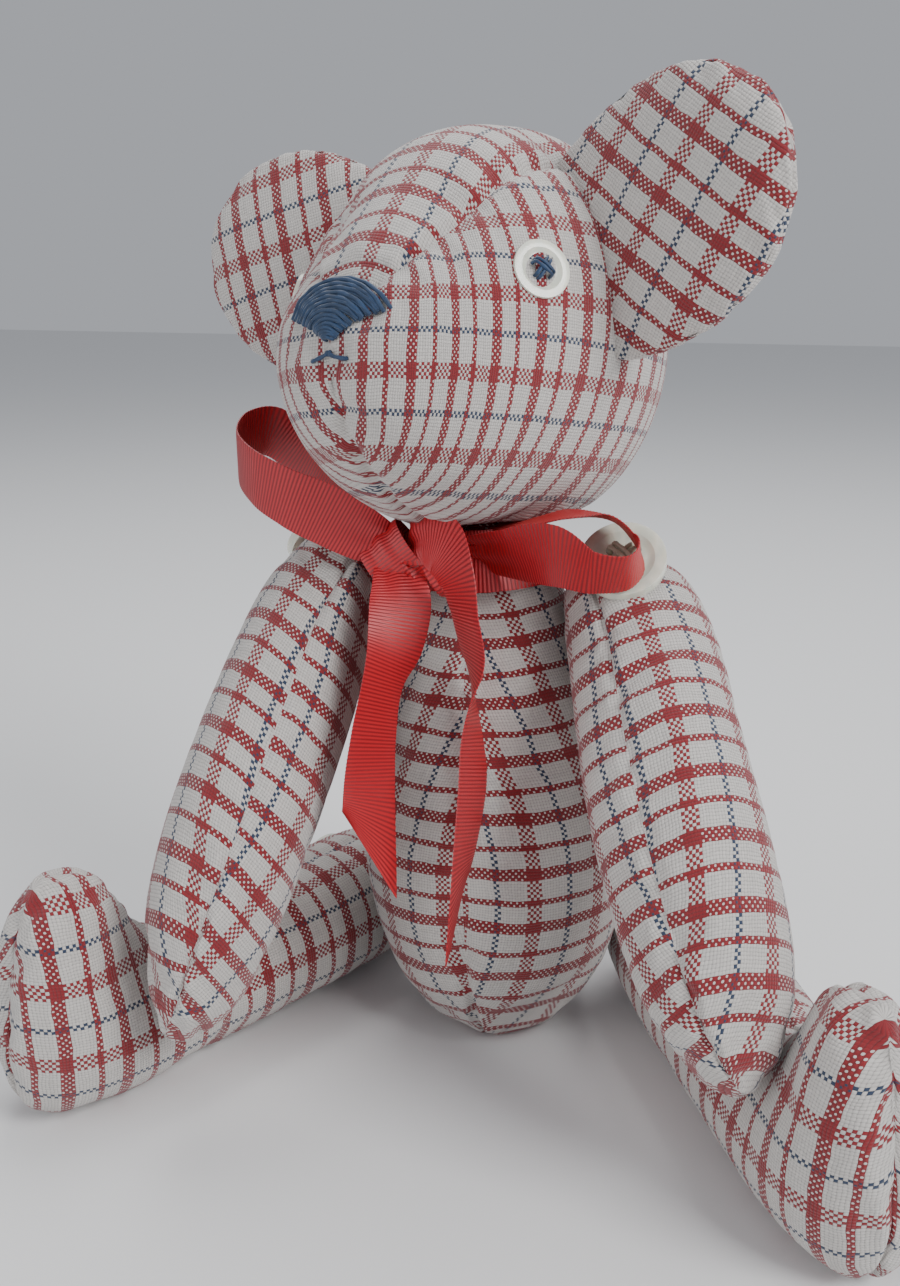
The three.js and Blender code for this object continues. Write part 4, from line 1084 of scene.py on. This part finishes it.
# %% Pearl and thread
def build_pearl(name):
    material, tree, shader = new_material(name, 0.22, 1.53, Coat_Weight=0.35, Coat_Roughness=0.12,
                                          Subsurface_Weight=0.15)
    shader.inputs["Subsurface Radius"].default_value = (0.002, 0.0018, 0.0014)
    shader.inputs["Subsurface Scale"].default_value = 1.0
    spot = object_place(tree)
    cloud = node(tree, "ShaderNodeTexNoise", {"Vector": spot, "Scale": 170.0, "Detail": 3.0,
                                              "Distortion": 1.2}).outputs[0]
    layer = node(tree, "ShaderNodeTexWave", {"Vector": spot, "Scale": 90.0, "Distortion": 9.0,
                                             "Detail": 2.0}).outputs[1]
    milky = mix_colour(tree, cloud, linear("#C9CBB6"), linear("#F1EFE2"))
    milky = mix_colour(tree, math_node(tree, "MULTIPLY", layer, 0.3), milky, linear("#B9C6BE"))
    tree.links.new(milky, shader.inputs["Base Color"])
    return material


def thread_material(name, dark, light, roughness):
    material, tree, shader = new_material(name, roughness, 1.47, Sheen_Weight=0.3, Sheen_Roughness=0.4)
    spot = object_place(tree)
    fibre = node(tree, "ShaderNodeTexNoise", {"Vector": spot, "Scale": 2600.0, "Detail": 2.0}).outputs[0]
    patch = node(tree, "ShaderNodeTexNoise", {"Vector": spot, "Scale": 420.0, "Detail": 1.0}).outputs[0]
    tone = math_node(tree, "MULTIPLY_ADD", fibre, 0.6, math_node(tree, "MULTIPLY_ADD", patch, 0.7, -0.2))
    tree.links.new(mix_colour(tree, tone, linear(dark), linear(light)), shader.inputs["Base Color"])
    add_bump(tree, shader, fibre, 0.35, 0.06)
    return material


PEARL = build_pearl("polished_pearl_shell")
NAVY = thread_material("navy_stranded_cotton", "#0E1B2E", "#294C74", 0.5)
CREAM = thread_material("waxed_linen_thread", "#A9A38C", "#E3DDC8", 0.6)
print([finish.name for finish in (PEARL, NAVY, CREAM)])

# %% [markdown]
# ### One button
# One button is modelled from a disc: its face is inset to leave a rounded rim, sunk in the middle, and
# drilled. Its radius is 1, so a copy only has to be scaled by the real one's radius.

# %% One button, whose radius is 1
BUTTON_THICKNESS = 0.26
HOLE_PLACE = 0.264     # how far a hole's middle lies from the button's, each way
HOLE_RADIUS = 0.15


def model_button():
    select_only()
    bpy.ops.mesh.primitive_cylinder_add(vertices=72, radius=1, depth=BUTTON_THICKNESS,
                                        location=(0, 0, BUTTON_THICKNESS / 2))
    button = bpy.context.active_object
    bpy.ops.object.mode_set(mode="EDIT")
    bpy.ops.mesh.select_mode(type="FACE")
    bpy.ops.mesh.select_all(action="DESELECT")
    bpy.ops.object.mode_set(mode="OBJECT")
    for face in button.data.polygons:
        face.select = face.normal.z > 0.9
    bpy.ops.object.mode_set(mode="EDIT")
    bpy.ops.mesh.inset(thickness=0.26)
    bpy.ops.mesh.inset(thickness=0.12)
    bpy.ops.transform.translate(value=(0, 0, -0.07))
    bpy.ops.mesh.inset(thickness=0.1)
    bpy.ops.transform.translate(value=(0, 0, -0.012))
    bpy.ops.object.mode_set(mode="OBJECT")
    drills = []
    for x, y in ((1, 1), (-1, 1), (-1, -1), (1, -1)):
        select_only()
        bpy.ops.mesh.primitive_cylinder_add(vertices=28, radius=HOLE_RADIUS, depth=1,
                                            location=(x * HOLE_PLACE, y * HOLE_PLACE, 0))
        drills.append(bpy.context.active_object)
    select_only(*drills)
    bpy.ops.object.join()
    drill = bpy.context.active_object
    cut = button.modifiers.new("holes", "BOOLEAN")
    cut.operation = "DIFFERENCE"
    cut.object = drill
    round_off = button.modifiers.new("rounding", "BEVEL")
    round_off.width = 0.05
    round_off.segments = 3
    round_off.limit_method = "ANGLE"
    round_off.angle_limit = math.radians(28)
    apply_modifiers(button)
    bpy.data.objects.remove(drill, do_unlink=True)
    button.data.materials.append(PEARL)
    shade_smooth(button, 40)
    return button


# %% [markdown]
# ### Thread
# A thread is a tube with two plies that wind round each other. Its stitches are made one by one and then
# joined to one piece.

# %% Thread
THREAD_SIDES = 7
TWIST = 9              # one turn of the twist, in thread radii
LOBES = 0.16           # how far its two plies stand out, as a share of the radius
ASKEW = (0.31, 0.52, 0.79)    # a direction that no thread here runs along


def thread_tube(points, radius):
    """A twisted thread along points, in mm: a tube whose section has two lobes that turn as it goes."""
    points = np.array(points, float)
    fine = smooth_rows(points, np.linspace(0, 1, 8 * len(points) + 8))
    ahead = unit_rows(np.gradient(fine, axis=0))
    side = unit_rows(np.cross(ahead, ASKEW))
    over = np.cross(ahead, side)
    phases = 2 * math.pi * running_length(fine) / (radius * TWIST)
    rings = []
    for i, point in enumerate(fine):
        for j in range(THREAD_SIDES):
            turn = 2 * math.pi * j / THREAD_SIDES
            swell = radius * (1 + LOBES * math.cos(2 * turn + phases[i]))
            rings.append(point + swell * (math.cos(turn) * side[i] + math.sin(turn) * over[i]))
    faces = []
    for start in range(0, (len(fine) - 1) * THREAD_SIDES, THREAD_SIDES):
        for j in range(THREAD_SIDES):
            k = (j + 1) % THREAD_SIDES
            faces.append((start + j, start + k, start + THREAD_SIDES + k, start + THREAD_SIDES + j))
    first_end = range(THREAD_SIDES)
    faces += [tuple(first_end)[::-1], tuple(len(rings) - THREAD_SIDES + j for j in first_end)]
    return new_mesh("strand", rings, faces)


def join_threads(name, strands, material):
    first = strands[0]
    select_only(*strands)
    bpy.ops.object.join()
    first.name = name
    first.data.name = name
    recalculate_outside(first)
    first.data.materials.append(material)
    shade_smooth(first)
    print(name, len(strands), "strands")
    return first


def cad_points(name):
    return np.array([v.co[:] for v in frame["nodes"][name].data.vertices]) / MM


# %% [markdown]
# ### Sewing the buttons on
# Each copy is turned to where the engineering model's plain button stands, and two pairs of threads cross
# over its face from hole to hole.

# %% Sewing the buttons on
SEWING_THREAD = 0.062  # its radius, in button radii
LANE = 0.05            # half the gap between two threads in the same hole
one_button = model_button()


def sew_button(node_name, thread_name, away_from, up, thread, body):
    """A copy of the button where the plain one stands, facing away from a point, and its threads."""
    low, high = [np.array(corner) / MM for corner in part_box(node_name)]
    points = cad_points(node_name)
    centre = (low + high) / 2
    # a disc's points spread least along its axis
    spread = (points - points.mean(0)).T
    facing = np.linalg.eigh(np.cov(spread))[1][:, 0]
    facing = facing * np.sign((centre - away_from) @ facing)
    rise = (points - centre) @ facing
    reach = np.linalg.norm(points - centre - np.outer(rise, facing), axis=1).max()
    base = centre + facing * rise.min()
    side = unit(np.cross(up, facing))
    top = np.cross(facing, side)
    turn = Matrix([list(row) for row in np.array([side, top, facing]).T])
    button = one_button.copy()
    button.data = one_button.data.copy()
    button.name = f"{node_name}_pearl"
    bpy.context.collection.objects.link(button)
    button.matrix_world = Matrix.Translation(Vector(base * MM)) @ turn.to_4x4() @ Matrix.Scale(reach * MM, 4)
    settle(button)
    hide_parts(node_name)
    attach(button, body)
    strands = []
    for number, (x, y) in enumerate(((1, 1), (-1, 1))):
        for lane in (-LANE, LANE):
            # up through one hole, over the face and down through the opposite one, in button radii
            lift = 0.27 + number * 0.07
            shape = [(x, y, -0.05), (x, y, 0.15), (x * 0.85, y * 0.85, lift - 0.02), (0, 0, lift + 0.03),
                     (-x * 0.85, -y * 0.85, lift - 0.02), (-x, -y, 0.15), (-x, -y, -0.05)]
            line = []
            for a, b, c in shape:
                across = a * HOLE_PLACE + lane * y
                upwards = b * HOLE_PLACE - lane * x
                line.append(base + reach * (across * side + upwards * top + c * facing))
            strands.append(thread_tube(line, SEWING_THREAD * reach))
    threads = join_threads(f"{thread_name}_strands", strands, thread)
    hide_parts(thread_name)
    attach(threads, body)
    print(node_name, "radius", round(float(reach), 2), "mm")


for side_name in ("left", "right"):
    sew_button(f"eye_button_{side_name}", f"eye_thread_{side_name}", head_centre, neck_up, NAVY, "head")
    sew_button(f"shoulder_button_{side_name}", f"shoulder_button_thread_{side_name}",
               joint_place(f"shoulder_swing_{side_name}"), neck_up, CREAM, f"arm_{side_name}")
    sew_button(f"hip_button_{side_name}", f"hip_button_thread_{side_name}",
               joint_place(f"hip_swing_{side_name}"), neck_up, CREAM, f"leg_{side_name}")
bpy.data.objects.remove(one_button, do_unlink=True)

# %% [markdown]
# ## Nose and mouth
# Both are stitched over the muzzle's tip, so their stitches are laid on the head's own surface.

# %% A point on the head
def on_head(share, angle, lift):
    """Points lifted off the head's skin by so many mm."""
    point = head_form.at(share, angle)
    step = 1e-3
    along = head_form.at(share + step, angle) - point
    around = head_form.at(share, angle + step) - point
    out = unit_rows(np.cross(along, around))
    out *= np.sign(((point - head_centre) * out).sum(1, keepdims=True))
    return point + out * lift


# %% [markdown]
# ### Nose
# The nose is satin stitch: strands laid side by side until they cover the cloth, in two layers over a
# padded patch. It is widest at its top edge.

# %% Nose
NOSE_START = 0.012     # shares of the way along the head, from the muzzle's tip
NOSE_END = 0.15
NOSE_ROWS = 15
NOSE_REACH = 1.0       # radians either side of the middle, at the nose's top edge
NOSE_TAPER = 0.72      # the share of that reach left at its tip
NOSE_PADDING = 1.15    # mm that its middle is raised
STRAND = 0.52          # mm radius of a strand
LAYER_DROP = 0.35      # mm from the upper strands to the lower ones

strands = []
for number in range(NOSE_ROWS):
    part = number / (NOSE_ROWS - 1)
    share = NOSE_START + part * (NOSE_END - NOSE_START)
    # no two hand stitches are quite alike in length or slant
    reach = NOSE_REACH * (NOSE_TAPER + (1 - NOSE_TAPER) * part) + 0.02 * math.sin(number * 2.3)
    for layer in (0, 1):
        turn = np.linspace(-reach, reach, 9)
        slant = 0.006 * math.sin(number * 1.7 + layer * 2)
        swell = np.sqrt(np.maximum(0, 1 - (turn / reach) ** 2))
        lift = LAYER_DROP * (1 - layer) + NOSE_PADDING * swell
        share_line = share + layer * 0.004 + slant * turn / reach
        strands.append(thread_tube(on_head(share_line, turn, lift[:, None]), STRAND))
nose = join_threads("nose_satin_stitch", strands, NAVY)
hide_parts("nose_stitching")
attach(nose, "head")

# %% [markdown]
# ### Mouth
# The mouth has three stitches: two that slant down to the sides from the middle, and a short one that
# joins them to the nose. Each is three threads side by side.

# %% Mouth
# share of the way along the head, turn from the chin's seam in radians, mm off the cloth
LIP_STITCH = np.array([(0.012, 0.0, 0.2), (0.015, 0.3, 0.7), (0.03, 0.7, 0.8), (0.05, 1.0, 0.6),
                       (0.056, 1.1, 0.1)])
MIDDLE_STITCH = np.array([(0.002, 0.0, 0.2), (0.006, 0.0, 0.6), (0.011, 0.0, 0.6), (0.016, 0.0, 0.2)])
LIP_THREAD = 0.36      # mm radius
MIDDLE_THREAD = 0.34

strands = []
for lane in (-0.5, 0.0, 0.5):
    for sign in (1, -1):
        share, turn, lift = LIP_STITCH.T
        line = on_head(share + lane * 0.004, math.pi + sign * turn, lift[:, None])
        strands.append(thread_tube(line, LIP_THREAD))
    share, turn, lift = MIDDLE_STITCH.T
    line = on_head(share, math.pi + lane * 0.5 + turn, lift[:, None])
    strands.append(thread_tube(line, MIDDLE_THREAD))
mouth = join_threads("mouth_stitches", strands, NAVY)
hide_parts("mouth_stitching")
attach(mouth, "head")

# %% [markdown]
# ## Hidden pieces
# The neck joint and the threads through the body stay as the engineering model has them, and get the
# finish of their own stuff.

# %% Finishes of the neck joint and the axle threads
def build_fibreboard(name):
    material, tree, shader = new_material(name, 0.85, 1.5)
    fleck = node(tree, "ShaderNodeTexNoise", {"Vector": object_place(tree), "Scale": 900.0,
                                              "Detail": 4.0}).outputs[0]
    colour = mix_colour(tree, fleck, linear("#6E5136"), linear("#A98660"))
    tree.links.new(colour, shader.inputs["Base Color"])
    add_bump(tree, shader, fleck, 0.4, 0.1)
    return material


def build_zinc_plate(name):
    material, tree, shader = new_material(name, 0.35, 1.5, Metallic=1.0)
    spangle = node(tree, "ShaderNodeTexVoronoi", {"Vector": object_place(tree), "Scale": 700.0}).outputs[1]
    colour = mix_colour(tree, 0.12, linear("#B9BCBE"), spangle, "MULTIPLY")
    tree.links.new(colour, shader.inputs["Base Color"])
    return material


BOARD = build_fibreboard("pressed_fibreboard")
STEEL = build_zinc_plate("zinc_plated_steel")

for name, finish in (("neck_disc_body", BOARD), ("neck_disc_head", BOARD), ("neck_washer_body", STEEL),
                     ("neck_washer_head", STEEL), ("neck_split_pin", STEEL),
                     ("shoulder_axle_thread", CREAM), ("hip_axle_thread", CREAM)):
    thing = bpy.data.objects[name]
    for slot in thing.material_slots:
        slot.material = finish
    print(name, finish.name)
